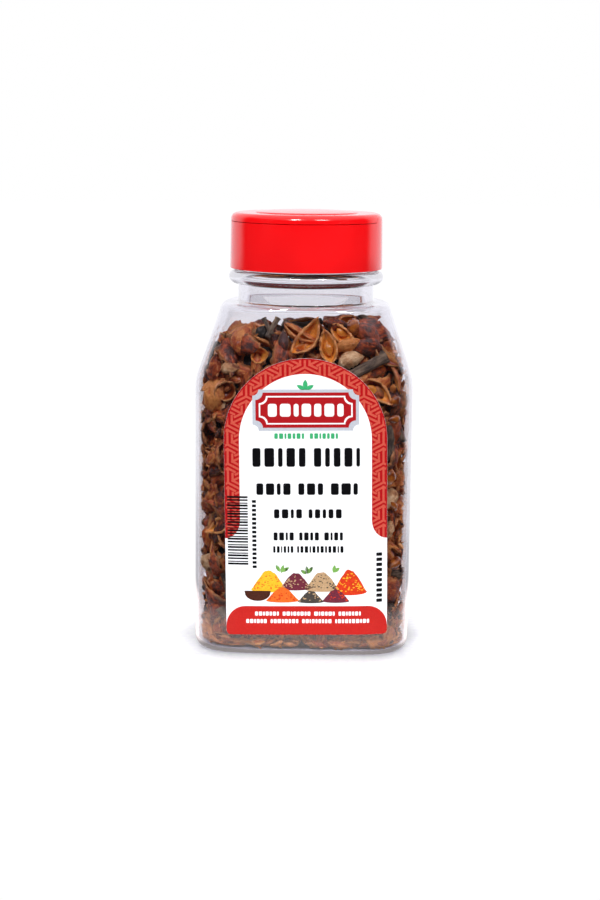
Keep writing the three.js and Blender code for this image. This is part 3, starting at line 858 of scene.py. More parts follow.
@dataclass
class Cap:
    """The red screw cap: a skirt, a crown with a raised disc, and two shut flaps beside a hinge band."""

    finish: MouldedPolypropylene = MouldedPolypropylene()
    bottom: float = 138.9
    top: float = 159.0
    foot_radius: float = 27.75
    head_radius: float = 27.5
    bore_radius: float = 26.3
    ceiling: float = 154.6
    edge_radius: float = 2.4
    flap_seat: float = 155.8
    gap: float = 0.15
    band: float = 14.0
    turn: float = math.radians(-5.5)
    disc_radius: float = 18.5
    disc_bevel: float = 0.3
    disc_height: float = 0.9
    disc_step: float = 0.3
    corner: float = 1.6
    sides: int = 224
    sharp: float = 32.0  # degrees; softer corners are shaded smooth

    def crown(self) -> list[tuple[float, float]]:
        """Draws the crown's profile: rounded edge, flat rim, low step and domed disc.

        Returns:
            Radius and height of each corner, from the edge inwards.
        """
        radius = self.edge_radius
        middle = (self.head_radius - radius, self.top - radius)
        turns = np.radians(np.linspace(0, 90, 11))
        profile = [(middle[0] + radius * math.cos(a), middle[1] + radius * math.sin(a)) for a in turns]
        held = 0.04  # a corner this near keeps the flat rim's shading flat
        low = self.top + self.disc_step
        step = [
            (middle[0] - held, self.top),
            (self.disc_radius + 1.0, self.top),
            (self.disc_radius + self.disc_bevel + held, self.top),
            (self.disc_radius + self.disc_bevel, self.top + 0.02),
            (self.disc_radius, low - 0.02),
        ]
        dome = [
            (self.disc_radius * r, low + (self.disc_height - self.disc_step) * (1 - r**3))
            for r in (0.99, 0.95, 0.9, 0.83, 0.75, 0.65, 0.5, 0.3)
        ]
        return profile + step + dome

    def lathe(self, profile: Sequence[tuple[float, float]], name: str) -> bpy.types.Object:
        """Turns a profile about the cap's axis.

        Args:
            profile: Radius and height of each corner; the first and the last lie on the axis.
            name: The piece's name.

        Returns:
            The piece.
        """
        turns = np.arange(self.sides) * FULL_TURN / self.sides + self.turn
        rings = [
            np.stack([r * np.cos(turns), r * np.sin(turns), np.full(self.sides, z)], axis=1)
            for r, z in profile[1:-1]
        ]
        form = loft(np.array(rings), (0, 0, profile[0][1]), (0, 0, profile[-1][1]))
        return form.to_object(name, [])

    def flap_space(self, side: int, bottom: float, gap: float, corner: float) -> bpy.types.Object:
        """Gives the room of one flap: its side of the hinge band above a height.

        Args:
            side: -1 for the front flap, 1 for the back one.
            bottom: The height.
            gap: Gap to the hinge band.
            corner: Radius of the corner at the band's foot.

        Returns:
            The room as a solid.
        """
        near = self.band / 2 + gap
        far = 2 * self.foot_radius
        outline = [(near, bottom + far), (far, bottom + far), (far, bottom)]
        centre = (near + corner, bottom + corner)
        for a in np.radians(np.linspace(-90, -180, 7)):
            outline.append((centre[0] + corner * math.cos(a), centre[1] + corner * math.sin(a)))
        ring = np.array([(0.0, side * y, z) for y, z in outline])
        if side < 0:
            ring = ring[::-1]
        reach = np.array([far, 0, 0])
        rings = np.array([ring - reach, ring + reach])[:, ::-1]
        middle = ring.mean(axis=0)
        form = loft(rings, middle - reach, middle + reach)
        turn = np.array(Matrix.Rotation(self.turn, 3, "Z"))
        return form.turned(turn, np.zeros(3)).to_object("flap_space", [])

    def finish_piece(self, piece: bpy.types.Object, material: bpy.types.Material, node: str) -> None:
        """Smooths a piece up to its moulded edges, gives it its material and mounts it.

        Args:
            piece: The piece.
            material: Its material.
            node: The CAD node that it stands for.
        """
        piece.data.polygons.foreach_set("use_smooth", np.ones(len(piece.data.polygons), dtype=bool))
        piece.data.set_sharp_from_angle(angle=math.radians(self.sharp))
        piece.data.materials.clear()
        piece.data.materials.append(material)
        mount(piece, [node])

    def build(self) -> None:
        """Builds the skirt with its hinge band and the two flaps."""
        material = self.finish.build()
        foot = [
            (0.0, self.ceiling),
            (self.bore_radius - 1, self.ceiling),
            (self.bore_radius, self.ceiling - 1),
            (self.bore_radius, self.bottom + 0.3),
            (self.bore_radius + 0.3, self.bottom),
            (self.foot_radius - 0.35, self.bottom),
            (self.foot_radius - 0.1, self.bottom + 0.1),
            (self.foot_radius, self.bottom + 0.35),
        ]
        high = [(0.0, self.top + self.disc_height)]
        body = self.lathe(foot + self.crown() + high, "cap_skirt")
        for side in (-1, 1):
            blender_cut(body, self.flap_space(side, self.flap_seat, 0.0, self.corner), "DIFFERENCE")
        self.finish_piece(body, material, "cap")
        bottom = self.flap_seat + self.gap
        rim = self.head_radius
        under = [(0.0, bottom - 0.01), (rim - 0.15, bottom - 0.01), (rim, bottom + 0.1)]
        for side, name, node in ((-1, "flap_front", "cap_flap_front"), (1, "flap_back", "cap_flap_back")):
            lid = self.lathe(under + self.crown() + high, name)
            blender_cut(lid, self.flap_space(side, bottom, self.gap, self.corner), "INTERSECT")
            self.finish_piece(lid, material, node)


# ---------------------------------------------------------------- label


Point = tuple[float, float]
Outline = list[Point]


def arc_points(centre: Point, reach: Point, low: float, high: float, steps: int) -> Outline:
    """Gives points along part of an ellipse.

    Args:
        centre: Its middle.
        reach: Its half width and half height.
        low: First angle in degrees.
        high: Last angle in degrees.
        steps: Number of steps.

    Returns:
        The points, both ends included.
    """
    turns = np.radians(np.linspace(low, high, steps + 1))
    return [(centre[0] + reach[0] * math.cos(a), centre[1] + reach[1] * math.sin(a)) for a in turns]


def bar(x0: float, x1: float, z0: float, z1: float, corner: float = 0.5) -> Outline:
    """Gives a bar with rounded corners.

    Args:
        x0: Its left side.
        x1: Its right side.
        z0: Its foot.
        z1: Its top.
        corner: Radius of the corners.

    Returns:
        Its outline.
    """
    r = min(corner, (x1 - x0) / 2, (z1 - z0) / 2)
    reach = (r, r)
    return (
        arc_points((x1 - r, z0 + r), reach, -90, 0, 4)
        + arc_points((x1 - r, z1 - r), reach, 0, 90, 4)
        + arc_points((x0 + r, z1 - r), reach, 90, 180, 4)
        + arc_points((x0 + r, z0 + r), reach, 180, 270, 4)
    )


def stroke(start: Array, end: Array, width: float) -> Outline:
    """Gives a straight stroke with square ends that reach half its width past both points.

    Args:
        start: First point.
        end: Last point.
        width: Its width.

    Returns:
        Its outline.
    """
    along = (end - start) / np.linalg.norm(end - start)
    side = np.array([-along[1], along[0]]) * width / 2
    cap = along * width / 2
    corners = (start - cap - side, end + cap - side, end + cap + side, start - cap + side)
    return [(float(x), float(z)) for x, z in corners]


def clipped(outline: Outline, border: Outline) -> Outline:
    """Cuts an outline down to what lies inside a convex border that runs counter-clockwise.

    Args:
        outline: The outline.
        border: The border.

    Returns:
        What is left of the outline.
    """
    kept = outline
    for (ax, az), (bx, bz) in zip(border, border[1:] + border[:1]):
        source, kept = kept, []
        for (px, pz), (qx, qz) in zip(source, source[1:] + source[:1]):
            p_in = (bx - ax) * (pz - az) - (bz - az) * (px - ax)
            q_in = (bx - ax) * (qz - az) - (bz - az) * (qx - ax)
            if p_in >= 0:
                kept.append((px, pz))
            if (p_in >= 0) != (q_in >= 0):
                share = p_in / (p_in - q_in)
                kept.append((px + (qx - px) * share, pz + (qz - pz) * share))
    return kept


class Ink(Enum):
    """The label's inks: sRGB colour and the slightly uneven shade of it that shows in the paper's tooth."""

    WHITE = ("#f0f1f5", "#eaebf0")
    BORDER_RED = ("#aa0a12", "#a0060e")
    FRET_SALMON = ("#c65242", "#bc483a")
    PANEL_RED = ("#b8201a", "#ae1a16")
    PLAQUE_RED = ("#a8121a", "#9c0e16")
    BLACK = ("#0c0c10", "#060609")
    GREY = ("#b9bcc6", "#aeb2bc")
    GREEN = ("#3fae72", "#339d64")
    LEAF = ("#7fae5a", "#6a9a48")
    SAFFRON = ("#efb62c", "#e3a31f")
    CHILLI = ("#cf3a18", "#bd2e10")
    PAPRIKA = ("#dd6a26", "#cf5a1a")
    SUMAC = ("#6d2a3a", "#5c2130")
    CUMIN = ("#b99a78", "#a68662")
    PEPPER = ("#4a4440", "#38332f")
    WOOD = ("#4a2418", "#3a1a10")


@dataclass
class Label:
    """The paper front label and its print, laid on the front wall ink by ink."""

    half_width: float = 29.1
    bottom: float = 8.6
    top: float = 109.3
    centre_x: float = 1.5
    turn: float = 1.0
    corner: float = 1.5
    gap: float = 0.1
    thickness: float = 0.25
    layer: float = 0.02
    ink_thickness: float = 0.012
    band: float = 5.5
    band_foot: float = 44.2
    band_turn: float = 51.0
    fret_pitch: float = 6.94
    fret_top: float = 106.2
    fret_line: float = 0.78
    fret_reach: float = 0.76
    fret_tip: float = 0.36
    uneven: tuple[float, ...] = (1.0, 1.2, 0.55, 1.05, 0.8, 1.1, 0.7)
    arch_steps: int = 40
    bend_step: float = 1.5
    arch_bend_from: float = 94.0
    arch_bend_step: float = 2.5
    plaque_middle: Point = (0.2, 90.9)
    sharp: float = 40.0  # degrees; softer corners are shaded smooth

    def outline(self, inset: float) -> Outline:
        """Gives the label's outline: an arch over straight sides.

        Args:
            inset: How far it is pulled in.

        Returns:
            The outline.
        """
        spring = self.top - self.half_width
        wide = self.half_width - inset
        r = max(self.corner - inset, 0.2)
        low = self.bottom + inset + r
        return (
            arc_points((wide - r, low), (r, r), -90, 0, 5)
            + arc_points((0, spring), (wide, wide), 0, 180, self.arch_steps)
            + arc_points((-wide + r, low), (r, r), 180, 270, 5)
        )

    def wrap(self, outlines: Sequence[Outline], level: float, name: str, thick: float) -> bpy.types.Object:
        """Makes a thin closed slab of flat outlines, bent to the front wall.

        Args:
            outlines: Flat outlines in x from the label's middle and z.
            level: How far the slab's face stands off the wall.
            name: The piece's name.
            thick: The slab's thickness.

        Returns:
            The piece.
        """
        flat = [Vector(point) for outline in outlines for point in outline]
        ends = np.cumsum([0] + [len(outline) for outline in outlines])
        loops = [list(range(low, high)) for low, high in zip(ends[:-1], ends[1:])]
        corners, _, triangles, _, _, owners = delaunay_2d_cdt(flat, [], loops, 0, 1e-4)
        skin = bmesh.new()
        joints = [skin.verts.new((corner.x, 0, corner.y)) for corner in corners]
        for triangle, owner in zip(triangles, owners):
            if owner:
                skin.faces.new([joints[i] for i in triangle])
        loose = [joint for joint in skin.verts if not joint.link_faces]
        bmesh.ops.delete(skin, geom=loose, context="VERTS")
        folds = [((x, 0, 0), (1, 0, 0)) for x in np.arange(-28.5, 29, self.bend_step)]
        folds += [((0, 0, z), (0, 0, 1)) for z in np.arange(self.arch_bend_from, 109, self.arch_bend_step)]
        for place, normal in folds:
            everything = skin.verts[:] + skin.edges[:] + skin.faces[:]
            bmesh.ops.bisect_plane(skin, geom=everything, plane_co=place, plane_no=normal)
        middle = Vector((0, 0, (self.bottom + self.top) / 2))
        lean = Matrix.Rotation(-math.radians(self.turn), 3, "Y")
        for corner in skin.verts:
            x, _, z = lean @ (corner.co - middle) + middle
            x += self.centre_x
            corner.co = Vector((x, JAR.front(x, z) - level, z)) * MM
        bmesh.ops.recalc_face_normals(skin, faces=skin.faces[:])
        for face in skin.faces:
            if face.normal.y > 0:
                face.normal_flip()
        mesh = bpy.data.meshes.new(name)
        skin.to_mesh(mesh)
        skin.free()
        sheet = bpy.data.objects.new(name, mesh)
        bpy.context.scene.collection.objects.link(sheet)
        body = sheet.modifiers.new("body", "SOLIDIFY")
        body.thickness = thick * MM
        body.offset = -1
        solid = bpy.data.meshes.new_from_object(sheet.evaluated_get(bpy.context.evaluated_depsgraph_get()))
        sheet.modifiers.clear()
        sheet.data = solid
        sheet.data.polygons.foreach_set("use_smooth", np.ones(len(solid.polygons), dtype=bool))
        sheet.data.set_sharp_from_angle(angle=math.radians(self.sharp))
        return sheet

    def foot_corner(self, side: int) -> Outline:
        """Gives the rounded corner at the label's foot, on the right (1) or the left (-1)."""
        return [(x, z) for x, z in self.outline(0.02) if z < self.bottom + 3 and x * side > 0]

    def band_outline(self) -> Outline:
        """Gives the red band's outline, from one foot over the arch to the other.

        Returns:
            The outline.
        """
        spring = self.top - self.half_width
        wide = self.half_width - 0.03
        over = arc_points((0, spring), (wide, wide), 0, 180, self.arch_steps)
        return [(wide, self.band_foot)] + over + [(-wide, self.band_foot)]

    def field_outline(self) -> Outline:
        """Gives the white field's outline: an arch inside the band that flares out to the edges below it.

        Returns:
            The outline.
        """
        spring = self.top - self.half_width
        inner = self.half_width - self.band
        wide = self.half_width - 0.02
        flare = (self.band - 0.02, self.band_turn - self.band_foot)
        right = arc_points((wide, self.band_turn), flare, 270, 180, 8)
        left = arc_points((-wide, self.band_turn), flare, 0, -90, 8)
        over = arc_points((0, spring), (inner, inner), 0, 180, self.arch_steps)
        return self.foot_corner(1) + right + over + left + self.foot_corner(-1)

    def fret(self) -> list[Outline]:
        """Draws the band's three-way fret: tripods on a hexagonal grid, each arm ending in an arrowhead.

        Returns:
            The outlines of its strokes.
        """
        pitch = self.fret_pitch
        arms = [np.array([0.0, pitch]), np.array([pitch, -pitch / 2]), np.array([-pitch, -pitch / 2])]
        border = self.outline(0.5)
        inside = self.half_width - self.band - pitch
        spring = self.top - self.half_width
        lines = []
        for column in range(-5, 6):
            for row in range(-1, 12):
                centre = np.array([column * pitch, self.fret_top - (row + 0.5 * (column % 2)) * pitch])
                reach = math.hypot(centre[0], max(centre[1] - spring, 0.0))
                if reach < inside or centre[1] < self.band_foot - pitch:
                    continue
                for i, arm in enumerate(arms):
                    tip = centre + arm * self.fret_reach
                    strokes = [(centre, tip)]
                    strokes += [(tip, tip + other * self.fret_tip) for j, other in enumerate(arms) if j != i]
                    for start, end in strokes:
                        cut = clipped(stroke(start, end, self.fret_line), border)
                        if len(cut) > 2 and max(z for _, z in cut) > self.band_foot:
                            lines.append(cut)
        foot = [(-40.0, self.band_foot), (40.0, self.band_foot), (40.0, 120.0), (-40.0, 120.0)]
        cuts = [clipped(line, foot) for line in lines]
        return [cut for cut in cuts if len(cut) > 2]

    def words(
        self, spans: Sequence[tuple[float, float]], middle: float, height: float, block: float, space: float
    ) -> list[Outline]:
        """Gives rows of plain blocks that stand for a line of words.

        Args:
            spans: Where each word starts and ends.
            middle: Height of the line's middle.
            height: Height of the blocks.
            block: Rough width of a block.
            space: Space between blocks.

        Returns:
            The blocks' outlines.
        """
        low = middle - height / 2
        blocks = []
        for x0, x1 in spans:
            count = max(1, round((x1 - x0 + space) / (block + space)))
            widths = np.array([self.uneven[(i + len(blocks)) % len(self.uneven)] for i in range(count)])
            widths *= (x1 - x0 - space * (count - 1)) / widths.sum()
            left = x0
            for width in widths:
                blocks.append(bar(left, left + width, low, low + height, 0.3 * block))
                left += width + space
        return blocks

    def barcode(self) -> list[Outline]:
        """Gives the evenly stepped bars on the label's left edge.

        Returns:
            The bars' outlines.
        """
        step, low, heights = 1.02, 34.6, (0.72, 0.42, 0.6)
        return [bar(-28.2, -20.8, low + i * step, low + i * step + heights[i % 3], 0.02) for i in range(25)]

    def mound(self, middle: float, base: float, width: float, height: float) -> Outline:
        """Gives the outline of a heaped spice, with an uneven slope.

        Args:
            middle: Its middle across.
            base: Height of its foot.
            width: Its width.
            height: Its height.

        Returns:
            The outline.
        """
        draw = np.random.default_rng(int(abs(middle) * 10 + width))
        shares = np.linspace(0, 1, 19)
        rough = draw.uniform(-0.04, 0.04, 19) * np.sin(np.pi * shares)
        over = [
            (middle + width * (0.5 - t), base + height * (math.sin(math.pi * t) ** 1.25 + float(bump)))
            for t, bump in zip(shares, rough)
        ]
        under = arc_points((middle, base), (width / 2, 0.16 * height), 180, 360, 8)[1:-1]
        return over + under

    def specks(
        self, middle: float, base: float, width: float, height: float, count: int, size: float
    ) -> list[Outline]:
        """Gives small grains strewn over a heaped spice.

        Args:
            middle: The heap's middle across.
            base: Height of its foot.
            width: Its width.
            height: Its height.
            count: How many grains.
            size: Their usual radius.

        Returns:
            The grains' outlines.
        """
        draw = np.random.default_rng(int(count + width * 10))
        grains = []
        for _ in range(count):
            across = draw.uniform(-0.42, 0.42)
            limit = math.sin(math.pi * (0.5 + across)) ** 1.25
            up = draw.uniform(0.02, 0.88 * limit)
            r = size * draw.uniform(0.6, 1.3)
            spot = (middle + width * across, base + height * up)
            grains.append(arc_points(spot, (r, 0.6 * r), draw.uniform(0, 60), 300, 5))
        return grains

    def leaf(self, foot: Point, length: float, width: float, angle: float) -> Outline:
        """Gives a pointed leaf.

        Args:
            foot: Where it starts.
            length: Its length.
            width: Its width.
            angle: Its angle from level in degrees.

        Returns:
            The outline.
        """
        shares = np.linspace(0, 1, 9)
        edge = [(length * t, -width / 2 * math.sin(math.pi * t) ** 0.8) for t in shares]
        outline = edge + [(x, -y) for x, y in edge[-2:0:-1]]
        turn = math.radians(angle)
        cos, sin = math.cos(turn), math.sin(turn)
        return [(foot[0] + x * cos - y * sin, foot[1] + x * sin + y * cos) for x, y in outline]

    def picture(self) -> list[tuple[Ink, int, list[Outline]]]:
        """Draws the band of heaped spices above the bottom panel, back row first.

        Returns:
            Ink, layer and outlines of each part.
        """
        heaps = [
            (Ink.SAFFRON, Ink.PAPRIKA, -13.5, 25.5, 13.0, 7.0, 3),
            (Ink.SUMAC, Ink.CUMIN, -3.8, 26.0, 11.5, 5.6, 3),
            (Ink.CUMIN, Ink.PEPPER, 5.6, 25.6, 12.5, 6.4, 3),
            (Ink.CHILLI, Ink.SAFFRON, 15.6, 24.6, 12.5, 8.2, 3),
            (Ink.PAPRIKA, Ink.CHILLI, -8.6, 21.4, 12.0, 5.0, 5),
            (Ink.PEPPER, Ink.CUMIN, 1.6, 21.0, 9.5, 4.0, 5),
            (Ink.SUMAC, Ink.CHILLI, 10.6, 21.2, 10.0, 4.4, 5),
        ]
        parts = []
        for body, grains, middle, base, width, height, level in heaps:
            parts.append((body, level, [self.mound(middle, base, width, height)]))
            count = int(width * height * 0.55)
            parts.append((grains, level + 1, self.specks(middle, base, width, height, count, 0.34)))
        dish = arc_points((-17.6, 24.2), (4.6, 3.0), 180, 360, 14) + [(-12.8, 25.0), (-22.4, 25.0)]
        parts.append((Ink.WOOD, 5, [dish]))
        sprigs = [
            self.leaf((x, z), length, 1.3, angle)
            for x, z, length, angle in (
                (-9.0, 31.5, 3.2, 75), (-8.6, 32.0, 3.0, 35), (-9.4, 32.0, 3.0, 120), (0.6, 31.2, 3.0, 100),
                (0.8, 31.4, 3.0, 60), (0.2, 31.2, 2.6, 145), (9.8, 31.6, 3.0, 80), (9.9, 31.8, 2.8, 40),
            )
        ]
        parts.append((Ink.LEAF, 2, sprigs))
        return parts

    def ticket(self, wide: float, high: float, scoop: float) -> Outline:
        """Gives a plain plaque with scooped corners.

        Args:
            wide: Half its width to the scoops' middles.
            high: Half its height to them.
            scoop: The scoops' radius.

        Returns:
            The outline.
        """
        x, z = self.plaque_middle
        reach = (scoop, scoop)
        return (
            arc_points((x + wide, z - high), reach, 180, 90, 6)
            + arc_points((x + wide, z + high), reach, 270, 180, 6)
            + arc_points((x - wide, z + high), reach, 0, -90, 6)
            + arc_points((x - wide, z - high), reach, 90, 0, 6)
        )

    def print_parts(self) -> list[tuple[Ink, int, list[Outline]]]:
        """Lists everything that is printed.

        Returns:
            Ink, layer and outlines of each part.
        """
        plaque = self.ticket(17.8, 6.3, 2.6)
        rim = self.ticket(18.9, 7.4, 2.2)
        inline = self.ticket(16.6, 5.1, 2.6)
        inner = self.ticket(16.1, 4.6, 2.6)
        panel_wide = self.half_width - 0.02
        panel = (
            self.foot_corner(1)
            + arc_points((panel_wide - 7.0, 11.7), (7.0, 7.6), 0, 90, 10)
            + arc_points((7.0 - panel_wide, 11.7), (7.0, 7.6), 90, 180, 10)
            + self.foot_corner(-1)
        )
        texts = (
            self.words([(-18.9, 0.0), (3.0, 19.4)], 73.9, 6.8, 2.4, 1.4)
            + self.words([(-17.6, -5.4), (-2.6, 6.2), (9.0, 18.6)], 62.4, 4.2, 2.1, 0.95)
            + self.words([(-11.4, -1.4), (1.0, 12.8)], 53.4, 3.3, 1.9, 0.9)
            + self.words([(-11.6, -4.4), (-2.4, 4.6), (6.6, 13.2)], 45.1, 2.9, 1.15, 0.62)
            + self.words([(-11.8, -4.6), (-3.2, 13.4)], 40.3, 2.4, 0.85, 0.52)
            + [bar(25.2, 27.3, low, low + 1.25, 0.3) for low in np.arange(20.6, 38.4, 1.9)]
            + [bar(-19.3, -17.8, low, low + 1.0, 0.2) for low in np.arange(33.4, 58.6, 1.6)]
            + self.barcode()
        )
        small = self.words([(-18.6, -10.0), (-8.6, 1.4), (2.8, 10.2), (11.6, 19.6)], 16.5, 1.5, 0.95, 0.32)
        small += self.words([(-21.8, -14.4), (-13.0, -3.0), (-1.6, 9.0), (10.4, 22.6)], 13.7, 1.5, 0.95, 0.32)
        sprig = [self.leaf((0.1, 98.2), 3.6, 1.7, 90), self.leaf((0.1, 98.2), 3.4, 1.5, 152)]
        sprig.append(self.leaf((0.1, 98.2), 3.4, 1.5, 28))
        return [
            (Ink.BORDER_RED, 0, [self.band_outline()]),
            (Ink.FRET_SALMON, 1, self.fret()),
            (Ink.WHITE, 2, [self.field_outline()]),
            (Ink.PANEL_RED, 3, [panel]),
            (Ink.BLACK, 3, texts),
            (Ink.GREEN, 3, sprig + self.words([(-11.0, -0.4), (1.6, 11.6)], 81.6, 2.0, 1.15, 0.45)),
            (Ink.GREY, 3, [rim]),
            (Ink.PLAQUE_RED, 4, [plaque]),
            (Ink.WHITE, 5, [inline]),
            (Ink.PLAQUE_RED, 6, [inner]),
            (Ink.WHITE, 7, self.words([(-13.2, 13.6)], 90.9, 4.6, 2.9, 1.1)),
            (Ink.WHITE, 4, small),
            *self.picture(),
        ]

    def build(self) -> None:
        """Builds the paper and one thin piece for each ink of each layer."""
        face = self.gap + self.thickness
        white = CoatedPaper("coated_paper", *Ink.WHITE.value)
        paper = self.wrap([self.outline(0)], face, "label_paper", self.thickness)
        paper.data.materials.append(white.build())
        mount(paper, ["label"])
        materials = {ink: CoatedPaper(f"ink_{ink.name.lower()}", *ink.value).build() for ink in Ink}
        layers: dict[tuple[Ink, int], list[Outline]] = {}
        for ink, level, outlines in self.print_parts():
            layers.setdefault((ink, level), []).extend(outlines)
        for (ink, level), outlines in layers.items():
            name = f"print_{ink.name.lower()}_{level}"
            sheet = self.wrap(outlines, face + self.layer * (level + 1), name, self.ink_thickness)
            sheet.data.materials.append(materials[ink])
            mount(sheet)


# ---------------------------------------------------------------- star anise


LCG_FACTOR = 1664525
LCG_STEP = 1013904223
LCG_RANGE = 2**32


Made = list[tuple[str, Form]]  # meshes, each with the name of the mesh piece that it goes into


class Draw:
    """A seeded run of numbers from 0 to 1, the same run that lays the solids' pieces."""

    def __init__(self, seed: int) -> None:
        """Starts the run at a seed."""
        self.state = seed

    def next(self) -> float:
        """Gives the next number."""
        self.state = (self.state * LCG_FACTOR + LCG_STEP) % LCG_RANGE
        return self.state / LCG_RANGE

    def between(self, low: float, high: float) -> float:
        """Gives the next number, spread over a range."""
        return low + (high - low) * self.next()


class Kind(Enum):
    """What a piece of the filling is."""

    POD = "pod"
    SHELL = "shell"
    SEED = "seed"
    STALK = "stalk"


class Skin(Enum):
    """Numbers of the filling's finishes on a mesh."""

    OUTSIDE = 0
    INSIDE = 1


class Detail(Enum):
    """How finely a husk is meshed: points along it, round its outside and round its inside."""

    FINE = (21, 14, 9)
    PLAIN = (13, 9, 6)
    CHIP = (7, 5, 4)


RIDGE_MEAN = 0.637  # the mean of a ridged sine wave
RIDGE_SCALE = 1.6  # brings the sum of a few back to about 1 from trough to ridge
FIBRE_SPREAD = 400  # moves each piece's pattern away from the others'


def ripples(draw: np.random.Generator, u: Array, v: Array, rough: float, count: int = 6) -> Array:
    """Sums a few random ridged waves over a surface.

    Args:
        draw: The generator that the waves are drawn from.
        u: Place along the piece, 0 to 1.
        v: Place round the piece in radians.
        rough: Highest wave number along the piece.
        count: How many waves.

    Returns:
        Heights from about -0.5 to 0.5.
    """
    total = np.zeros(np.broadcast(u, v).shape)
    for _ in range(count):
        waves_along, waves_round, start = draw.uniform([2, -3, 0], [rough, 3, FULL_TURN])
        total += np.abs(np.sin(waves_along * u + waves_round * v + start)) - RIDGE_MEAN
    return total / count * RIDGE_SCALE


@dataclass(frozen=True)
class Husk:
    """One pod of a star: a boat of woody husk, open along its upper seam, pointed at the beak.

    Attributes:
        length: From heel to beak.
        width: Across the belly.
        depth: From seam to keel.
        gape: How far the seam stands open, from 0, shut, to 1, as wide as the belly.
        wall: Thickness of the husk.
        beak: How far the beak turns up, as a share of the length.
        wrinkle: Height of the outer wrinkles as a share of the radius.
        ragged: How far the seam's edge wanders, in millimetres.
        detail: How finely it is meshed.
    """

    length: float
    width: float
    depth: float
    gape: float
    wall: float = 0.75
    beak: float = 0.16
    wrinkle: float = 0.24
    ragged: float = 0.7
    detail: Detail = Detail.FINE

    def form(self, draw: np.random.Generator, tone: float) -> Form:
        """Builds the husk along X with its seam up.

        Args:
            draw: The generator for wrinkles and bends.
            tone: How pale the piece is, 0 to 1.

        Returns:
            The closed form.
        """
        stations, outer_points, inner_points = self.detail.value
        u = np.linspace(0.015, 0.985, stations)[:, None]
        # Half width and keel depth along the pod: both swell fast from the blunt heel and run out to the beak.
        belly = 0.5 * self.width * np.sin(math.pi * u**0.82) ** 0.72
        keel = self.depth * (0.22 * (1 - u) + 0.95 * np.sin(math.pi * u**0.78) ** 0.75)
        seam = math.pi - math.asin(min(self.gape, 0.999)) if self.gape < 1 else math.pi / 2
        inner = np.linspace(seam, -seam, inner_points)[None, :]
        outer = np.linspace(-seam, seam, outer_points)[None, :]
        # The inside face keeps the wall's thickness behind the outside one, and only that one is wrinkled.
        rough = 1 + self.wrinkle * ripples(draw, u, outer, 46, 7)
        smooth = 1 + 0.04 * ripples(draw, u, inner, 9, 3)
        thin_y = np.maximum(belly - self.wall, 0.2 * belly)
        thin_z = np.maximum(keel - self.wall, 0.25 * keel)
        y = np.concatenate([thin_y * np.sin(inner) * smooth, belly * np.sin(outer) * rough], axis=1)
        z = np.concatenate([self.lift(inner) * thin_z * smooth, self.lift(outer) * keel * rough], axis=1)
        x = np.broadcast_to((u - 0.5) * self.length, y.shape).copy()
        angle = np.concatenate([inner, outer], axis=1)
        # The seam's edge wanders, the beak and the heel turn up, and the whole pod is bowed and twisted.
        edge = np.clip((np.abs(angle) / seam - 0.72) / 0.28, 0, 1) ** 2
        wander = ripples(draw, u * 1.5, np.sign(angle) * 0.9, 11, 4)
        z += edge * self.ragged * 2.2 * wander + self.beak * self.length * np.clip((u - 0.55) / 0.45, 0, 1) ** 2
        z += 0.10 * self.length * np.clip(0.3 - u, 0, 1) ** 2 * 8 * 0.3
        bow, twist = draw.uniform([-0.09, -0.35], [0.09, 0.35])
        y += bow * self.length * (1 - (2 * u - 1) ** 2)
        swing = twist * (u - 0.5)
        y, z = y * np.cos(swing) - z * np.sin(swing), y * np.sin(swing) + z * np.cos(swing)
        rings = np.stack([x, y, z], axis=2)
        finish = np.full(inner_points + outer_points, Skin.OUTSIDE.value)
        finish[: inner_points - 1] = Skin.INSIDE.value
        heel = rings[0].mean(axis=0) - [0.03 * self.length, 0, 0]
        beak = rings[-1].mean(axis=0) + [0.05 * self.length, 0, 0.02 * self.length]
        form = loft(rings, heel, beak, finish)
        form.shade(tone=tone)
        form.shades["rim"] = np.concatenate([[0.3], np.tile(edge, (stations, 1)).ravel(), [0.6]])
        form.shades["fibre"] = form.points + draw.uniform(-FIBRE_SPREAD, FIBRE_SPREAD, 3)
        return form

    @staticmethod
    def lift(angle: Array) -> Array:
        """Height round the section: full depth below the seam's level, a low lip above it."""
        return np.where(np.abs(angle) < math.pi / 2, -np.cos(angle), -0.42 * np.cos(angle))


@dataclass(frozen=True)
class Lump:
    """A rounded solid bit along X, used for seeds and crumbs."""

    length: float
    width: float
    thickness: float
    rough: float = 0.0
    blunt: float = 0.75
    stations: int = 9
    sides: int = 12

    def form(self, draw: np.random.Generator, tone: float) -> Form:
        """Builds the bit, with corners pushed about by its roughness.

        Args:
            draw: The generator for its bumps.
            tone: How pale it is, 0 to 1.

        Returns:
            The closed form.
        """
        u = np.linspace(0.03, 0.97, self.stations)[:, None]
        turn = np.linspace(0, FULL_TURN, self.sides, endpoint=False)[None, :]
        swell = np.sin(math.pi * u) ** self.blunt * (1 + self.rough * ripples(draw, u, turn, 22, 5) * 2)
        y = 0.5 * self.width * swell * np.cos(turn)
        z = 0.5 * self.thickness * swell * np.sin(turn)
        x = np.broadcast_to((u - 0.5) * self.length, y.shape)
        rings = np.stack([x, y, z], axis=2)
        form = loft(rings, (-0.5 * self.length, 0, 0), (0.5 * self.length, 0, 0))
        form.shade(tone=tone, rim=0.0)
        form.shades["fibre"] = form.points + draw.uniform(-FIBRE_SPREAD, FIBRE_SPREAD, 3)
        return form


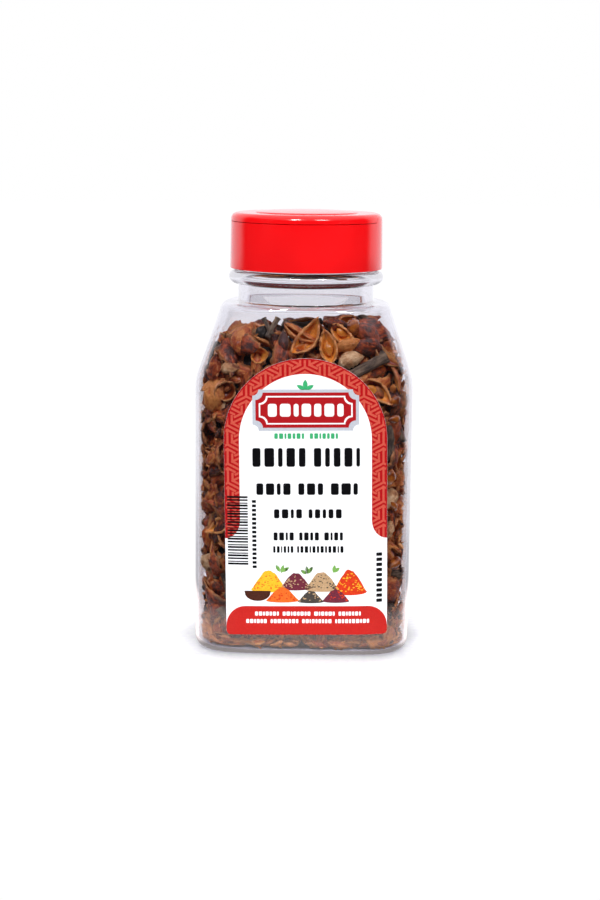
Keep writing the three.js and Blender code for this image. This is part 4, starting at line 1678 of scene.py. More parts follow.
@dataclass(frozen=True)
class Twig:
    """A bit of fruit stalk: a bent, ribbed stick along X."""

    length: float
    width: float
    bow: float
    stations: int = 12
    sides: int = 10

    def form(self, draw: np.random.Generator, tone: float) -> Form:
        """Builds the stalk.

        Args:
            draw: The generator for its ribs.
            tone: How pale it is, 0 to 1.

        Returns:
            The closed form.
        """
        u = np.linspace(0.0, 1.0, self.stations)[:, None]
        turn = np.linspace(0, FULL_TURN, self.sides, endpoint=False)[None, :]
        ends = 0.35 * np.clip(0.15 - u, 0, 1) / 0.15, 0.3 * np.clip(u - 0.85, 0, 1) / 0.15
        flare = 0.5 * self.width * (1 + ends[0] + ends[1])
        radius = flare * (1 + 0.22 * ripples(draw, u * 0.6, turn * 2, 12, 6))
        y = radius * np.cos(turn)
        z = radius * np.sin(turn) + self.bow * (1 - (2 * u - 1) ** 2)
        x = np.broadcast_to((u - 0.5) * self.length, y.shape)
        rings = np.stack([x, y, z], axis=2)
        form = loft(rings, (-0.5 * self.length - 0.2, 0, 0), (0.5 * self.length + 0.2, 0, 0))
        form.shade(tone=tone, rim=0.0)
        form.shades["fibre"] = form.points + draw.uniform(-FIBRE_SPREAD, FIBRE_SPREAD, 3)
        return form


def turn_about(axis: str, angle: float) -> Array:
    """Gives a 3 by 3 turn about an axis."""
    return np.array(Matrix.Rotation(angle, 3, axis))


@dataclass(frozen=True)
class Chosen:
    """A piece with its own place on the front wall, turned in degrees.

    Attributes:
        kind: The mesh piece that it goes into.
        shape: Its shape.
        x: Place across.
        z: Height.
        spin: Turn in the wall's plane.
        roll: Turn about its length; 0 shows the inside.
        tone: How pale it is, 0 to 1.
        seeded: Whether a seed lies in it.
        room: How much of the wall round it is its own.
    """

    kind: str
    shape: Husk | Lump | Twig
    x: float
    z: float
    spin: float
    roll: float
    tone: float
    seeded: bool = False
    room: float = 6.0


CHOSEN = (
    Chosen("half_shells", Husk(13, 8.2, 3.8, 1.0, wall=0.6, ragged=0.8), -22.4, 116.5, 82, 165, 0.62),
    Chosen("stalks", Lump(5.2, 4.2, 4.0, 0.3), -15.3, 118.2, 70, 0, 0.02, room=3.0),
    Chosen("stalks", Twig(8.0, 1.9, 0.5), -11.2, 119.8, 62, 0, 0.6, room=3.0),
    Chosen("stalks", Twig(6.5, 1.6, 0.4), -13.0, 120.2, 118, 0, 0.5, room=3.0),
    Chosen("open_pods", Husk(6.8, 6.2, 3.0, 1.0, wall=0.6, beak=0.3), -15.6, 109.7, 20, 0, 0.85, room=4.0),
    Chosen("open_pods", Husk(15.5, 7.4, 3.9, 0.95, wall=0.9, ragged=0.5), 0.6, 117.2, 54, -10, 0.7, room=8.0),
    Chosen("open_pods", Husk(12.4, 6.6, 3.4, 0.98, wall=0.8, beak=0.05), 8.8, 113.4, 103, 0, 0.8, True, 7.0),
    Chosen("open_pods", Husk(10.5, 5.8, 3.2, 0.95, wall=0.8), 14.4, 118.0, -38, 8, 0.75, True, 5.5),
    Chosen("half_shells", Husk(14.0, 7.0, 4.0, 1.0, ragged=0.9), 24.6, 117.0, -48, 172, 0.2, room=6.0),
    Chosen("straw_husks", Husk(6.8, 4.9, 2.3, 1.0, wall=0.5), -26.9, 104.9, 15, 180, 0.35, room=4.0),
    Chosen("half_shells", Husk(9.2, 7.4, 3.4, 1.0, wall=0.6), -28.7, 97.2, 40, 10, 0.12, room=5.0),
    Chosen("open_pods", Husk(14.5, 6.2, 5.0, 0.5), -33.5, 95.0, 84, 150, 0.85, room=6.0),
    Chosen("straw_husks", Husk(10.6, 6.2, 4.2, 0.85), 17.6, 108.0, 24, 172, 0.6, room=5.0),
    Chosen("open_pods", Husk(12.4, 4.2, 3.8, 0.5), 17.5, 114.4, 14, 160, 0.95, room=5.0),
    Chosen("stalks", Twig(16.5, 3.9, 0.8, 16, 14), 24.0, 105.8, 27, 0, 0.6, room=8.0),
    Chosen("open_pods", Husk(14.2, 7.0, 3.8, 0.97, wall=0.9), 27.0, 96.6, -35, 0, 0.75, True, 7.0),
    Chosen("seeds", Lump(5.0, 3.8, 3.0), 33.6, 93.7, 30, 0, 0.25, room=3.0),
    Chosen("seeds", Lump(5.4, 3.2, 2.6), 33.2, 87.2, 5, 0, 0.2, room=3.0),
    Chosen("seeds", Lump(6.6, 5.0, 3.6), 32.0, 66.0, 70, 0, 0.4, room=3.5),
    Chosen("stalks", Lump(13.5, 4.2, 1.8, 0.25, 0.4), 31.2, 78.6, 88, 0, 0.55, room=4.0),
    Chosen("open_pods", Husk(13.2, 5.8, 4.8, 0.6), 25.5, 113.0, -8, 150, 0.18, room=5.0),
)


@dataclass
class Filling:
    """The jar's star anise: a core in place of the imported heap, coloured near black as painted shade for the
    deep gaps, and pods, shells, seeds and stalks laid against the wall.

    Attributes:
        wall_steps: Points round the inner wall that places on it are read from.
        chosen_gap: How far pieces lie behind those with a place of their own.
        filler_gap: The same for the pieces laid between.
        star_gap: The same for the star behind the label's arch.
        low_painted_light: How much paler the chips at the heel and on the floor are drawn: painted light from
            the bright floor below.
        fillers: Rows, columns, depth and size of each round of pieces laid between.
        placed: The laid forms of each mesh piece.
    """

    heap_top: float = 118.0
    heap_lean: float = 0.13
    heap_floor: float = 3.0
    wall_clearance: float = 0.35
    wall_steps: int = 400
    core_depth: float = 6.0
    core_foot: float = 6.6
    core_step: float = 1.6
    core_sides: int = 150
    core_lean_from: float = 96.0
    pod_length: float = 15.0
    side_pitch: float = 14.6
    row_pitch: float = 12.4
    top_pitch: float = 12.2
    star_arms: int = 8
    straw_share: float = 0.16
    seeded_share: float = 0.55
    star_seeded_share: float = 0.8
    chosen_gap: float = 4.2
    filler_gap: float = 3.5
    star_gap: float = 4.5
    low_painted_light: float = 0.3
    fillers: tuple[tuple[int, int, float, float], ...] = (
        (9, 15, 0.9, 0.95),
        (10, 17, 2.6, 0.9),
        (8, 15, 5.0, 0.95),
    )
    wall_chips: int = 420
    side_chips: int = 200
    heel_chips: int = 190
    floor_chips: int = 130
    crumbs: int = 260
    seed: int = 20261
    placed: dict[str, list[Form]] = field(default_factory=dict)

    def __post_init__(self) -> None:
        """Starts the generator for the pieces' own shapes."""
        self.draw = np.random.default_rng(self.seed)

    # ---- where pieces lie

    def crowding(self, points: Array) -> Array:
        """Tells how near points are to the inner wall or heel.

        Args:
            points: Points in the jar's body, one row each.

        Returns:
            A value for each, over 1 where it is nearer than the clearance or past the wall.
        """
        inner_heel = JAR.heel_radius - JAR.wall
        low = np.clip((JAR.heel_radius + JAR.floor - JAR.wall - points[:, 2]) / inner_heel, 0, 1)
        inset = JAR.wall + self.wall_clearance + inner_heel * (1 - np.sqrt(1 - low**2))
        heights = np.clip(points[:, 2], 0, JAR.shoulder)
        grid = np.linspace(0, JAR.shoulder, 248)
        cuts = [JAR.section(z) for z in grid]
        width = np.interp(heights, grid, [c.half_width for c in cuts]) - inset
        depth = np.interp(heights, grid, [c.half_depth for c in cuts]) - inset
        power = np.interp(heights, grid, [c.squareness for c in cuts])
        return (np.abs(points[:, 0]) / width) ** power + (np.abs(points[:, 1]) / depth) ** power

    def ground(self, points: Array) -> Array:
        """Gives the height of the jar's domed floor, with the clearance on it.

        Args:
            points: The points, one row each.

        Returns:
            The height under each.
        """
        reach = JAR.heel_radius + JAR.standing_ring
        across = np.abs(points[:, 0]) / (JAR.half_width - reach)
        along = np.abs(points[:, 1]) / (JAR.half_depth - reach)
        share = np.minimum((across**JAR.squareness + along**JAR.squareness) ** (1 / JAR.squareness), 1)
        return JAR.floor + JAR.push_up * (1 - share**3) + self.wall_clearance

    def outward(self, point: Array) -> Array:
        """Gives the wall's outward direction near a point.

        Args:
            point: The point.

        Returns:
            The direction, of length 1.
        """
        step = 0.05
        offsets = np.vstack([np.eye(3) * step, -np.eye(3) * step])
        values = self.crowding(point + offsets)
        slope = values[:3] - values[3:]
        return slope / np.linalg.norm(slope)

    def wall_point(self, share: float, z: float) -> Array:
        """Gives a point on the inner wall.

        Args:
            share: Share of the way round from the +X side.
            z: The height.

        Returns:
            The point.
        """
        count = self.wall_steps
        ring = JAR.section(z).ring(JAR.wall + self.wall_clearance, z, count)
        place = (share % 1) * count
        low = int(place) % count
        return ring[low] + (ring[(low + 1) % count] - ring[low]) * (place - int(place))

    def girth(self, z: float) -> float:
        """Gives the distance round the inner wall at a height."""
        ring = JAR.section(z).ring(JAR.wall + self.wall_clearance, z, self.wall_steps)
        return float(np.linalg.norm(ring - np.roll(ring, -1, axis=0), axis=1).sum())

    def aim(self, normal: Array, spin: float, roll: float, tip: float) -> Array:
        """Turns a piece to face along a normal.

        Args:
            normal: The direction that it faces.
            spin: Turn in the plane across the normal, in radians.
            roll: Turn about its length.
            tip: How far its beak is tipped into the heap.

        Returns:
            The turn as a 3 by 3 matrix.
        """
        up = np.array([0.0, 1.0, 0.0]) if abs(normal[2]) > 0.9 else np.array([0.0, 0.0, 1.0])
        level = np.cross(up, normal)
        level /= np.linalg.norm(level)
        basis = np.stack([level, np.cross(normal, level), normal], axis=1)
        return basis @ turn_about("Z", spin) @ turn_about("Y", tip) @ turn_about("X", roll)

    def settle(
        self, form: Form, anchor: Array, normal: Array, turn: Array, deeper: float
    ) -> Form:
        """Lays a piece against a surface point, then draws it in until wall and floor are clear.

        Args:
            form: The piece along X with its seam up.
            anchor: The point on the wall or the heap's top.
            normal: The outward direction there.
            turn: How the piece is turned.
            deeper: How far behind the surface it lies.

        Returns:
            The piece in place.
        """
        points = form.points @ turn.T
        place = anchor - normal * ((points @ normal).max() + deeper)
        inwards = np.array([-anchor[0], -anchor[1], 0.0])
        inwards /= max(np.linalg.norm(inwards), 1e-6)
        for _ in range(80):
            if self.crowding(points + place).max() <= 1:
                break
            place = place + inwards * 0.25
        place[2] += max(0.0, (self.ground(points + place) - points[:, 2] - place[2]).max())
        return form.turned(turn, place)

    # ---- single pieces

    def kind_of(self, number: float) -> Kind:
        """Gives the kind that a draw from 0 to 1 stands for.

        Args:
            number: The draw.

        Returns:
            The kind.
        """
        if number < 0.5:
            return Kind.POD
        if number < 0.84:
            return Kind.SHELL
        return Kind.SEED if number < 0.93 else Kind.STALK

    def seed_in(self, husk: Husk, tone: float) -> Form:
        """Builds the seed that lies in an open pod.

        Args:
            husk: The pod.
            tone: How pale the seed is, 0 to 1.

        Returns:
            The seed in its place.
        """
        length = 0.46 * husk.length
        seed = Lump(length, 0.30 * husk.length, 0.2 * husk.length).form(self.draw, tone)
        return seed.turned(turn_about("Y", 0.1), np.array([-0.06 * husk.length, 0, -0.42 * husk.depth]))

    def pieces(self, kind: Kind, size: float, detail: Detail = Detail.FINE) -> Made:
        """Builds the meshes of one piece.

        Args:
            kind: What the piece is.
            size: Share of the usual size.
            detail: How finely its husk is meshed.

        Returns:
            Its meshes.
        """
        draw = self.draw
        length = self.pod_length * size
        tone = float(np.clip(draw.normal(0.42, 0.2), 0.0, 1.0))
        if kind is Kind.POD:
            gape = draw.uniform(0.35, 0.95)
            width, depth = draw.uniform([0.32, 0.36], [0.46, 0.48]) * length
            husk = Husk(length, width, depth, gape, wall=1.0, detail=detail)
            made = [("open_pods", husk.form(draw, tone))]
            if gape > 0.55 and draw.uniform() < self.seeded_share:
                made.append(("seeds", self.seed_in(husk, draw.uniform(0.3, 0.9))))
            return made
        if kind is Kind.SHELL:
            pale = draw.uniform() < self.straw_share
            width = draw.uniform(0.4, 0.56) * length
            depth = draw.uniform(0.26, 0.4) * length
            husk = Husk(length, width, depth, 1.0, wall=0.8, beak=0.1, ragged=0.9, detail=detail)
            return [("straw_husks" if pale else "half_shells", husk.form(draw, tone))]
        if kind is Kind.SEED:
            seed = Lump(0.55 * length, 0.38 * length, 0.24 * length)
            return [("seeds", seed.form(draw, draw.uniform(0.2, 1.0)))]
        twig = Twig(draw.uniform(1.0, 1.45) * length, draw.uniform(0.12, 0.22) * length, 0.07 * length)
        return [("stalks", twig.form(draw, tone))]

    def star(self, size: float) -> Made:
        """Builds a whole star laid flat with its seams up.

        Args:
            size: Share of the usual size.

        Returns:
            Its meshes.
        """
        made = []
        for arm in range(self.star_arms):
            draw = self.draw
            length = self.pod_length * size * draw.uniform(0.9, 1.08)
            husk = Husk(length, 0.46 * length, 0.46 * length, draw.uniform(0.6, 0.95), 1.1, 0.12, ragged=0.35)
            tone = draw.uniform(0.25, 0.6)
            forms = [("whole_stars", husk.form(draw, tone))]
            if draw.uniform() < self.star_seeded_share:
                forms.append(("seeds", self.seed_in(husk, draw.uniform(0.4, 0.9))))
            swing = turn_about("Z", FULL_TURN * arm / self.star_arms + draw.uniform(-0.06, 0.06))
            lean = turn_about("X", draw.uniform(-0.25, 0.25))
            out = np.array([0.52 * self.pod_length * size, 0, 0])
            made += [(name, form.turned(lean, out).turned(swing, np.zeros(3))) for name, form in forms]
        column = Lump(0.34 * self.pod_length * size, 2.6, 2.6, rough=0.2)
        post = column.form(self.draw, 0.4).turned(turn_about("Y", math.pi / 2), np.array([0, 0, -2.0]))
        return made + [("whole_stars", post)]

    # ---- laying them

    def lay(
        self, made: Made, anchor: Array, normal: Array, turn: Array, deeper: float = 0.0
    ) -> None:
        """Settles the meshes of one piece together and files them.

        Args:
            made: Its meshes.
            anchor: The point on the surface.
            normal: The surface's outward direction.
            turn: How the piece is turned.
            deeper: How far behind the surface it lies.
        """
        whole = self.settle(joined([form for _, form in made]), anchor, normal, turn, deeper)
        start = 0
        for name, form in made:
            count = len(form.points)
            placed = replace(form, points=whole.points[start : start + count])
            self.placed.setdefault(name, []).append(placed)
            start += count

    def lay_against_wall(self, draw: Draw) -> None:
        """Lays the pieces that lean on the wall, row by row.

        Args:
            draw: The solids' run of numbers.
        """
        rows = round((self.heap_top - self.heap_floor) / self.row_pitch)
        for row in range(rows):
            z = self.heap_floor + self.row_pitch * (row + 0.5)
            columns = round(self.girth(z) / self.side_pitch)
            for column in range(columns):
                share = (column + 0.5 * (row % 2) + draw.between(0.1, 0.6)) / columns
                height = z + draw.between(-0.28, 0.28) * self.row_pitch
                anchor = self.wall_point(share, height)
                made = self.pieces(self.kind_of(draw.next()), draw.between(0.75, 1.1))
                normal = self.outward(anchor)
                spin, roll = draw.between(0, FULL_TURN), draw.between(0, FULL_TURN)
                turn = self.aim(normal, spin, roll, draw.between(-0.3, 0.3))
                self.lay(made, anchor, normal, turn, self.chosen_gap if self.chosen_near(anchor) else 0.0)

    def lay_on_top(self, draw: Draw) -> None:
        """Lays the pieces on the top of the heap.

        Args:
            draw: The solids' run of numbers.
        """
        section = JAR.section(self.heap_top)
        across = int(section.half_width // self.top_pitch)
        deep = int(section.half_depth // self.top_pitch)
        up = np.array([0.0, 0.0, 1.0])
        for i in range(-across, across + 1):
            for j in range(-deep, deep + 1):
                x = (i + draw.between(-0.3, 0.3)) * self.top_pitch
                y = (j + draw.between(-0.3, 0.3)) * self.top_pitch
                anchor = np.array([x, y, self.heap_top + self.heap_lean * x + draw.between(0.5, 4)])
                made = self.pieces(self.kind_of(draw.next()), draw.between(0.8, 1.1))
                spin, roll = draw.between(0, FULL_TURN), draw.between(0, FULL_TURN)
                self.lay(made, anchor, up, self.aim(up, spin, roll, draw.between(-0.5, 0.5)))

    def lay_stars(self) -> None:
        """Lays a whole star behind the label's arch, one on the right side and one on the back."""
        for share, z, spin, size in ((0.3, 84, 0.1, 0.95), (0.98, 56, 0.3, 0.9)):
            anchor = self.wall_point(share, z)
            normal = self.outward(anchor)
            self.lay(self.star(size), anchor, normal, self.aim(normal, spin, 0, 0))
        anchor = self.front_point(9.1, 108.0)
        normal = self.outward(anchor)
        self.lay(self.star(0.9), anchor, normal, self.aim(normal, 0.2, 0, 0), self.star_gap)

    def front_point(self, x: float, z: float) -> Array:
        """Gives the point on the inner front wall at a place across and a height."""
        return np.array([x, JAR.front(x, z, JAR.wall + self.wall_clearance), z])

    def lay_chosen(self) -> None:
        """Lays the pieces that stand out on the front wall, each in its own place."""
        draw = self.draw
        for piece in CHOSEN:
            anchor = self.front_point(piece.x, piece.z)
            normal = self.outward(anchor)
            turn = self.aim(normal, math.radians(piece.spin), math.radians(piece.roll), 0.0)
            made = [(piece.kind, piece.shape.form(draw, piece.tone))]
            if piece.seeded:
                made.append(("seeds", self.seed_in(piece.shape, 0.75)))
            self.lay(made, anchor, normal, turn)

    def chosen_near(self, point: Array) -> bool:
        """Tells whether a place on the wall belongs to a piece with its own place.

        Args:
            point: The place.

        Returns:
            True if it does.
        """
        if point[1] > -15:
            return False
        return any(math.hypot(point[0] - piece.x, point[2] - piece.z) < piece.room for piece in CHOSEN)

    def fill_between(self, rows: int, columns: int, deeper: float, small: float) -> None:
        """Lays further pieces behind and between the first ones.

        Args:
            rows: Rows up the jar.
            columns: Pieces round the jar in each row.
            deeper: How far behind the wall they lie.
            small: Share of the usual size.
        """
        draw = self.draw
        for row in range(rows):
            for column in range(columns):
                share = (column + draw.uniform(0, 1)) / columns
                z = (row + draw.uniform(0, 1)) * (self.heap_top - 3) / rows
                anchor = self.wall_point(share, z)
                normal = self.outward(anchor)
                spin, roll = draw.uniform(0, FULL_TURN, 2)
                turn = self.aim(normal, spin, roll, draw.uniform(-0.4, 0.4))
                made = self.pieces(self.kind_of(draw.uniform()), small * draw.uniform(0.8, 1.1), Detail.PLAIN)
                behind = self.filler_gap if self.chosen_near(anchor) else 0.0
                self.lay(made, anchor, normal, turn, behind + deeper * draw.uniform(0.6, 1.4))

    def lay_chip(
        self, anchor: Array, normal: Array, length: float, deeper: float, pale: float = 0.0
    ) -> None:
        """Lays a flat broken husk along a surface.

        Args:
            anchor: The point on the surface.
            normal: The surface's outward direction.
            length: The chip's length.
            deeper: How far behind the surface it lies.
            pale: How much paler than most it is; the heel and floor chips use it for painted light from the
                floor below.
        """
        draw = self.draw
        width, depth = draw.uniform([0.28, 0.12], [0.5, 0.22]) * length
        chip = Husk(length, width, depth, 1.0, wall=0.5, beak=0.08, ragged=0.8, detail=Detail.CHIP)
        roll = math.pi * draw.integers(0, 2) + draw.uniform(-0.4, 0.4)
        turn = self.aim(normal, draw.uniform(0, FULL_TURN), roll, draw.uniform(-0.25, 0.25))
        tone = float(np.clip(draw.normal(0.4, 0.3), 0, 1)) + pale
        self.lay([("husk_chips", chip.form(draw, tone))], anchor, normal, turn, deeper)

    def scatter_chips(self) -> None:
        """Lays chips close behind the wall, on the narrow sides, round the inner heel and over the floor."""
        draw = self.draw
        for _ in range(self.wall_chips):
            anchor = self.wall_point(draw.uniform(), draw.uniform(4.0, self.heap_top - 2))
            behind = self.chosen_gap if self.chosen_near(anchor) else 1.3
            normal = self.outward(anchor)
            self.lay_chip(anchor, normal, draw.uniform(8.0, 14.0), behind + draw.uniform(0.0, 2.4))
        for i in range(self.side_chips):
            share = 0.5 * (i % 2) + draw.uniform(-0.07, 0.07)
            anchor = self.wall_point(share, draw.uniform(4.0, self.heap_top - 6))
            self.lay_chip(anchor, self.outward(anchor), draw.uniform(5.0, 9.0), draw.uniform(0.0, 0.3))
        # The heel and floor chips are drawn paler, as painted light from the bright floor below.
        inner_heel = JAR.heel_radius - JAR.wall
        for _ in range(self.heel_chips):
            low = draw.uniform(0.0, 1.3)
            inset = JAR.wall + self.wall_clearance + inner_heel * (1 - math.cos(low))
            z = JAR.heel_radius + JAR.floor - JAR.wall - inner_heel * math.sin(low) + self.wall_clearance
            ring = JAR.section(0).ring(inset, z, self.wall_steps)
            anchor = ring[draw.integers(0, self.wall_steps)]
            normal = self.outward(anchor)
            self.lay_chip(anchor, normal, draw.uniform(6.0, 13.0), draw.uniform(0.0, 1.2), self.low_painted_light)
        down = np.array([0.0, 0.0, -1.0])
        for _ in range(self.floor_chips):
            spot = np.array([[draw.uniform(-32, 32), draw.uniform(-22, 22), 0.0]])
            anchor = np.array([spot[0, 0], spot[0, 1], self.ground(spot)[0]])
            self.lay_chip(anchor, down, draw.uniform(7.0, 13.0), draw.uniform(0.0, 1.0), self.low_painted_light)

    def scatter_crumbs(self) -> None:
        """Drops small broken bits between the pieces, close behind the wall."""
        draw = self.draw
        for _ in range(self.crumbs):
            anchor = self.wall_point(draw.uniform(), draw.uniform(1.5, self.heap_top - 4))
            normal = self.outward(anchor)
            length = draw.uniform(1.5, 5.0)
            width = draw.uniform(0.3, 0.7) * length
            thickness = draw.uniform(0.2, 0.5) * length
            crumb = Lump(length, width, thickness, 0.4, 0.5, 6, 7)
            spin, roll = draw.uniform(0, FULL_TURN, 2)
            form = crumb.form(draw, draw.uniform(0, 0.9))
            deeper = draw.uniform(3.0, 4.5) if self.chosen_near(anchor) else draw.uniform(0.0, 3.0)
            self.lay([("crumbs", form)], anchor, normal, self.aim(normal, spin, roll, 0.2), deeper)

    def core(self) -> Form:
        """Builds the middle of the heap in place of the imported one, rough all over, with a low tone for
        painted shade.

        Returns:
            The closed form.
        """
        top = self.heap_top - self.core_depth
        heights = np.concatenate([[self.core_foot], np.arange(9.0, top, self.core_step)])
        turns = np.linspace(0, FULL_TURN, self.core_sides) * 14
        rings = []
        for z in heights:
            inset = JAR.wall + self.wall_clearance + self.core_depth
            tuck = 3.0 if z < 8 else 2.0 * max(0.0, (z - 108) / 5)
            ring = JAR.section(z).ring(inset + tuck, z, self.core_sides)
            rough = ripples(self.draw, np.full(self.core_sides, z / 8), turns, 40, 9)
            ring[:, :2] *= (1 + 0.035 * rough)[:, None]
            rings.append(ring)
        lean = self.heap_lean * rings[-1][:, 0]
        for i, z in enumerate(heights):
            share = max(0.0, (z - self.core_lean_from) / (heights[-1] - self.core_lean_from))
            rings[i][:, 2] += lean * share
        form = loft(np.array(rings), (0, 0, self.core_foot), (0, 0, top + 1))
        form.shade(tone=0.1, rim=0.0)
        form.shades["fibre"] = form.points.copy()
        return form

    def build(self) -> None:
        """Lays everything and writes one mesh piece for each kind."""
        draw = Draw(self.seed)
        self.lay_against_wall(draw)
        self.lay_on_top(draw)
        self.lay_stars()
        self.lay_chosen()
        for rows, columns, deeper, small in self.fillers:
            self.fill_between(rows, columns, deeper, small)
        self.scatter_chips()
        self.scatter_crumbs()
        outside = DriedHusk("husk_outside", "#34110a", "#a44116", "#da8c48", "#eea868", 0.5, 1.1, 1.0, coat=0.12)
        inside = DriedHusk("husk_inside", "#74280a", "#cc661c", "#f2a446", "#f0b26a", 0.3, 2.4, 0.3, 5.0, 0.4)
        coat = DriedHusk("seed_coat", "#6b2d0e", "#b0601c", "#d98a35", "#d98a35", 0.16, 3.0, 0.08, 1.0, 0.8)
        straw = DriedHusk("straw_husk", "#6e3a22", "#c08a5c", "#ecc79a", "#e6bf88", 0.6, 1.6, 1.0)
        straw_in = DriedHusk("straw_lining", "#7a4a26", "#b98550", "#dcb27c", "#d9b27c", 0.45, 2.0, 0.3, 4.0)
        bark = DriedHusk("stalk_bark", "#1c1713", "#4a3c31", "#86705a", "#86705a", 0.75, 0.9, 0.9, 5.0)
        broken = DriedHusk("broken_husk", "#2e120a", "#8a451d", "#ca8446", "#ca8446", 0.6, 0.9, 0.9)
        # Painted shade: the core's finish is near black, so that the deep gaps between pieces read as shadow.
        shadow_core_finish = DriedHusk("painted_shadow_core", "#0c0402", "#1e0c06", "#3a1c10", "#3a1c10", 0.8, 2.2, 1.0, 1.0)
        finishes = dict.fromkeys(("open_pods", "half_shells", "whole_stars", "husk_chips"), (outside, inside))
        finishes |= {"straw_husks": (straw, straw_in), "seeds": (coat,), "stalks": (bark,), "crumbs": (broken,)}
        used = dict.fromkeys(finish for group in finishes.values() for finish in group)
        built = {finish: finish.build() for finish in used}
        heap = self.core().to_object("heap_core", [shadow_core_finish.build()])
        mount(heap, ["star_anise"])
        for name, forms in self.placed.items():
            piece = joined(forms).to_object(name, [built[finish] for finish in finishes[name]])
            mount(piece)


# ---------------------------------------------------------------- studio


@dataclass
class Softbox:
    """A rectangular studio light that the camera doesn't see, in metres and watts."""

    name: str
    place: tuple[float, float, float]
    target: tuple[float, float, float]
    width: float
    height: float
    power: float
    mirrored: bool = False

    def build(self) -> None:
        """Hangs the light and points it."""
        lamp = bpy.data.lights.new(self.name, "AREA")
        lamp.shape = "RECTANGLE"
        lamp.size = self.width
        lamp.size_y = self.height
        lamp.energy = self.power
        light = bpy.data.objects.new(self.name, lamp)
        light.location = self.place
        light.rotation_euler = (Vector(self.target) - Vector(self.place)).to_track_quat("-Z", "Y").to_euler()
        light.visible_camera = False
        light.visible_transmission = False
        light.visible_glossy = self.mirrored
        bpy.context.scene.collection.objects.link(light)


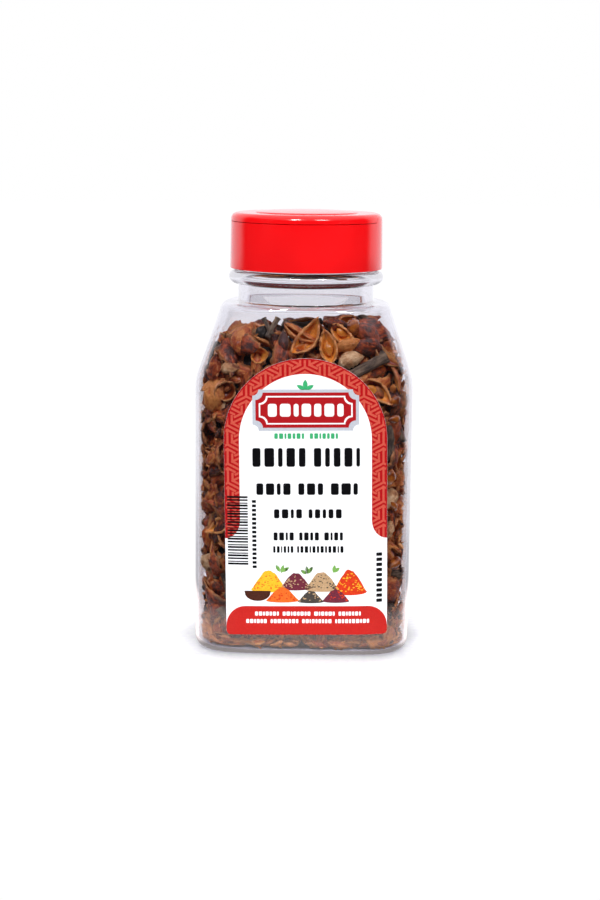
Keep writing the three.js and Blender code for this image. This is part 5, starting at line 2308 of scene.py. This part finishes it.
@dataclass
class Studio:
    """A white sweep with softboxes, and the camera in metres and degrees."""

    distance: float = 0.641
    azimuth: float = 1.5
    camera_height: float = 0.1877
    pitch: float = -10.3
    aim_off: float = 0.14
    roll: float = 0.6
    lens: float = 70.0
    near_floor: float = 0.12
    far_floor: float = 4.0
    front_room: float = 0.02
    back_room: float = 1.0
    overhead_room: float = 0.35
    backdrop_glow: float = 0.1

    def camera(self) -> None:
        """Sets up the camera."""
        data = bpy.data.cameras.new("camera")
        data.lens = self.lens
        data.sensor_width = 36.0
        data.clip_start = 0.05
        data.clip_end = 20
        camera = bpy.data.objects.new("camera", data)
        bearing = math.radians(self.azimuth)
        ahead = (math.sin(bearing), -math.cos(bearing))
        camera.location = (self.distance * ahead[0], self.distance * ahead[1], self.camera_height)
        level = Matrix.Rotation(math.radians(90 + self.pitch), 3, "X")
        heading = Matrix.Rotation(bearing + math.radians(self.aim_off), 3, "Z")
        tilt = Matrix.Rotation(math.radians(self.roll), 3, "Z")
        camera.rotation_euler = (heading @ level @ tilt).to_euler()
        bpy.context.scene.collection.objects.link(camera)
        bpy.context.scene.camera = camera

    def sweep(self) -> None:
        """Lays the floor. It shows everywhere, but glossy surfaces see only its part near the jar."""
        paper = MatteSweep().build()
        floors = (("floor_far", self.far_floor, False), ("floor_near", self.near_floor, True))
        for name, radius, glossy in floors:
            mesh = bpy.data.meshes.new(name)
            skin = bmesh.new()
            bmesh.ops.create_circle(skin, cap_ends=True, radius=radius, segments=96)
            skin.to_mesh(mesh)
            skin.free()
            floor = bpy.data.objects.new(name, mesh)
            floor.location = (0, 0, 0.00002 if glossy else 0)
            mesh.materials.append(paper)
            floor.visible_glossy = glossy
            bpy.context.scene.collection.objects.link(floor)

    def surroundings(self) -> None:
        """Sets the white backdrop, and the room that glossy surfaces see: bright behind, dim in front."""
        world = bpy.data.worlds.new("studio")
        world.use_nodes = True
        world.node_tree.nodes.clear()
        add = partial(add_node, world.node_tree)
        spot = add("TexCoord")
        way = add("SeparateXYZ", {0: spot.outputs["Generated"]})
        steps = []
        for axis, low, high in (("Y", 0.25, 0.5), ("Z", -0.36, -0.16), ("Z", 0.45, 0.7), ("Y", 0.88, 0.97)):
            reach = {"Value": way.outputs[axis], "From Min": low, "From Max": high}
            step = add("MapRange", reach, interpolation_type="SMOOTHSTEP")
            steps.append(step.outputs[0])
        behind, above_floor, overhead, backdrop = steps
        back = add("Math", {0: behind, 1: above_floor}, operation="MULTIPLY")
        path = add("LightPath")
        ceiling = add("Math", {0: path.outputs["Is Glossy Ray"], 1: self.overhead_room}, operation="MAXIMUM")
        above = add("Math", {0: overhead, 1: ceiling.outputs[0]}, operation="MULTIPLY")
        share = add("Math", {0: back.outputs[0], 1: above.outputs[0]}, operation="MAXIMUM")
        glow = add("Math", {0: backdrop, 1: above_floor}, operation="MULTIPLY")
        lit = {0: glow.outputs[0], 1: self.backdrop_glow, 2: self.back_room}
        strength = add("Math", lit, operation="MULTIPLY_ADD")
        dim = add("Background", {"Color": linear("#f4f5fb"), "Strength": self.front_room})
        bright = add("Background", {"Color": linear("#f6f6fb"), "Strength": strength.outputs[0]})
        room = add("MixShader", {0: share.outputs[0], 1: dim.outputs[0], 2: bright.outputs[0]})
        bends = {0: path.outputs["Ray Depth"], 1: path.outputs["Transmission Depth"]}
        turned = add("Math", bends, operation="SUBTRACT")
        straight = add("Math", {0: turned.outputs[0], 1: 1.5}, operation="LESS_THAN")
        looks = {0: path.outputs["Is Camera Ray"], 1: path.outputs["Is Transmission Ray"]}
        looking = add("Math", looks, operation="MAXIMUM")
        seen = add("Math", {0: straight.outputs[0], 1: looking.outputs[0]}, operation="MULTIPLY")
        white = add("Background", {"Color": (1, 1, 1, 1), "Strength": 1.0})
        mixed = add("MixShader", {0: seen.outputs[0], 1: room.outputs[0], 2: white.outputs[0]})
        add("OutputWorld", {"Surface": mixed.outputs[0]})
        bpy.context.scene.world = world

    def lights(self) -> None:
        """Hangs the softboxes."""
        middle = (0.0, 0.0, 0.08)
        boxes = [
            Softbox("top_box", (0.0, 0.0, 1.0), middle, 0.9, 0.7, 0.8, True),
            Softbox("key_left", (-0.24, -0.75, 0.86), middle, 0.24, 0.18, 6.4, True),
            Softbox("key_right", (0.40, -0.70, 0.86), middle, 0.30, 0.2, 4.4, True),
            Softbox("fill_left", (-0.75, -0.42, 0.30), middle, 0.3, 0.4, 1.6),
            Softbox("fill_right", (0.75, -0.42, 0.30), middle, 0.3, 0.4, 2.4),
            Softbox("back_left", (-0.45, 0.80, 0.45), middle, 0.4, 0.4, 4.5),
            Softbox("back_right", (0.45, 0.80, 0.45), middle, 0.4, 0.4, 4.5),
            Softbox("foot_light", (0.0, -0.075, 0.001), (0.0, -0.02, 0.006), 0.10, 0.006, 0.018),
        ]
        for box in boxes:
            box.build()

    def build(self) -> None:
        """Builds the whole studio and sets how light is carried and shown."""
        self.camera()
        self.sweep()
        self.surroundings()
        self.lights()
        scene = bpy.context.scene
        scene.view_settings.view_transform = "Standard"
        scene.view_settings.look = "None"
        scene.cycles.max_bounces = 14
        scene.cycles.transmission_bounces = 12
        scene.cycles.transparent_max_bounces = 12
        scene.cycles.glossy_bounces = 6
        scene.cycles.diffuse_bounces = 3
        scene.cycles.use_denoising = True
        scene.cycles.caustics_reflective = False
        scene.cycles.caustics_refractive = False


def main() -> None:
    """Builds the jar, its cap, its label and its filling, then the studio."""
    logging.basicConfig(level=logging.INFO, format="%(name)s %(message)s")
    Filling().build()
    Jar().build()
    Cap().build()
    Label().build()
    Studio().build()


if __name__ == "__main__":
    main()
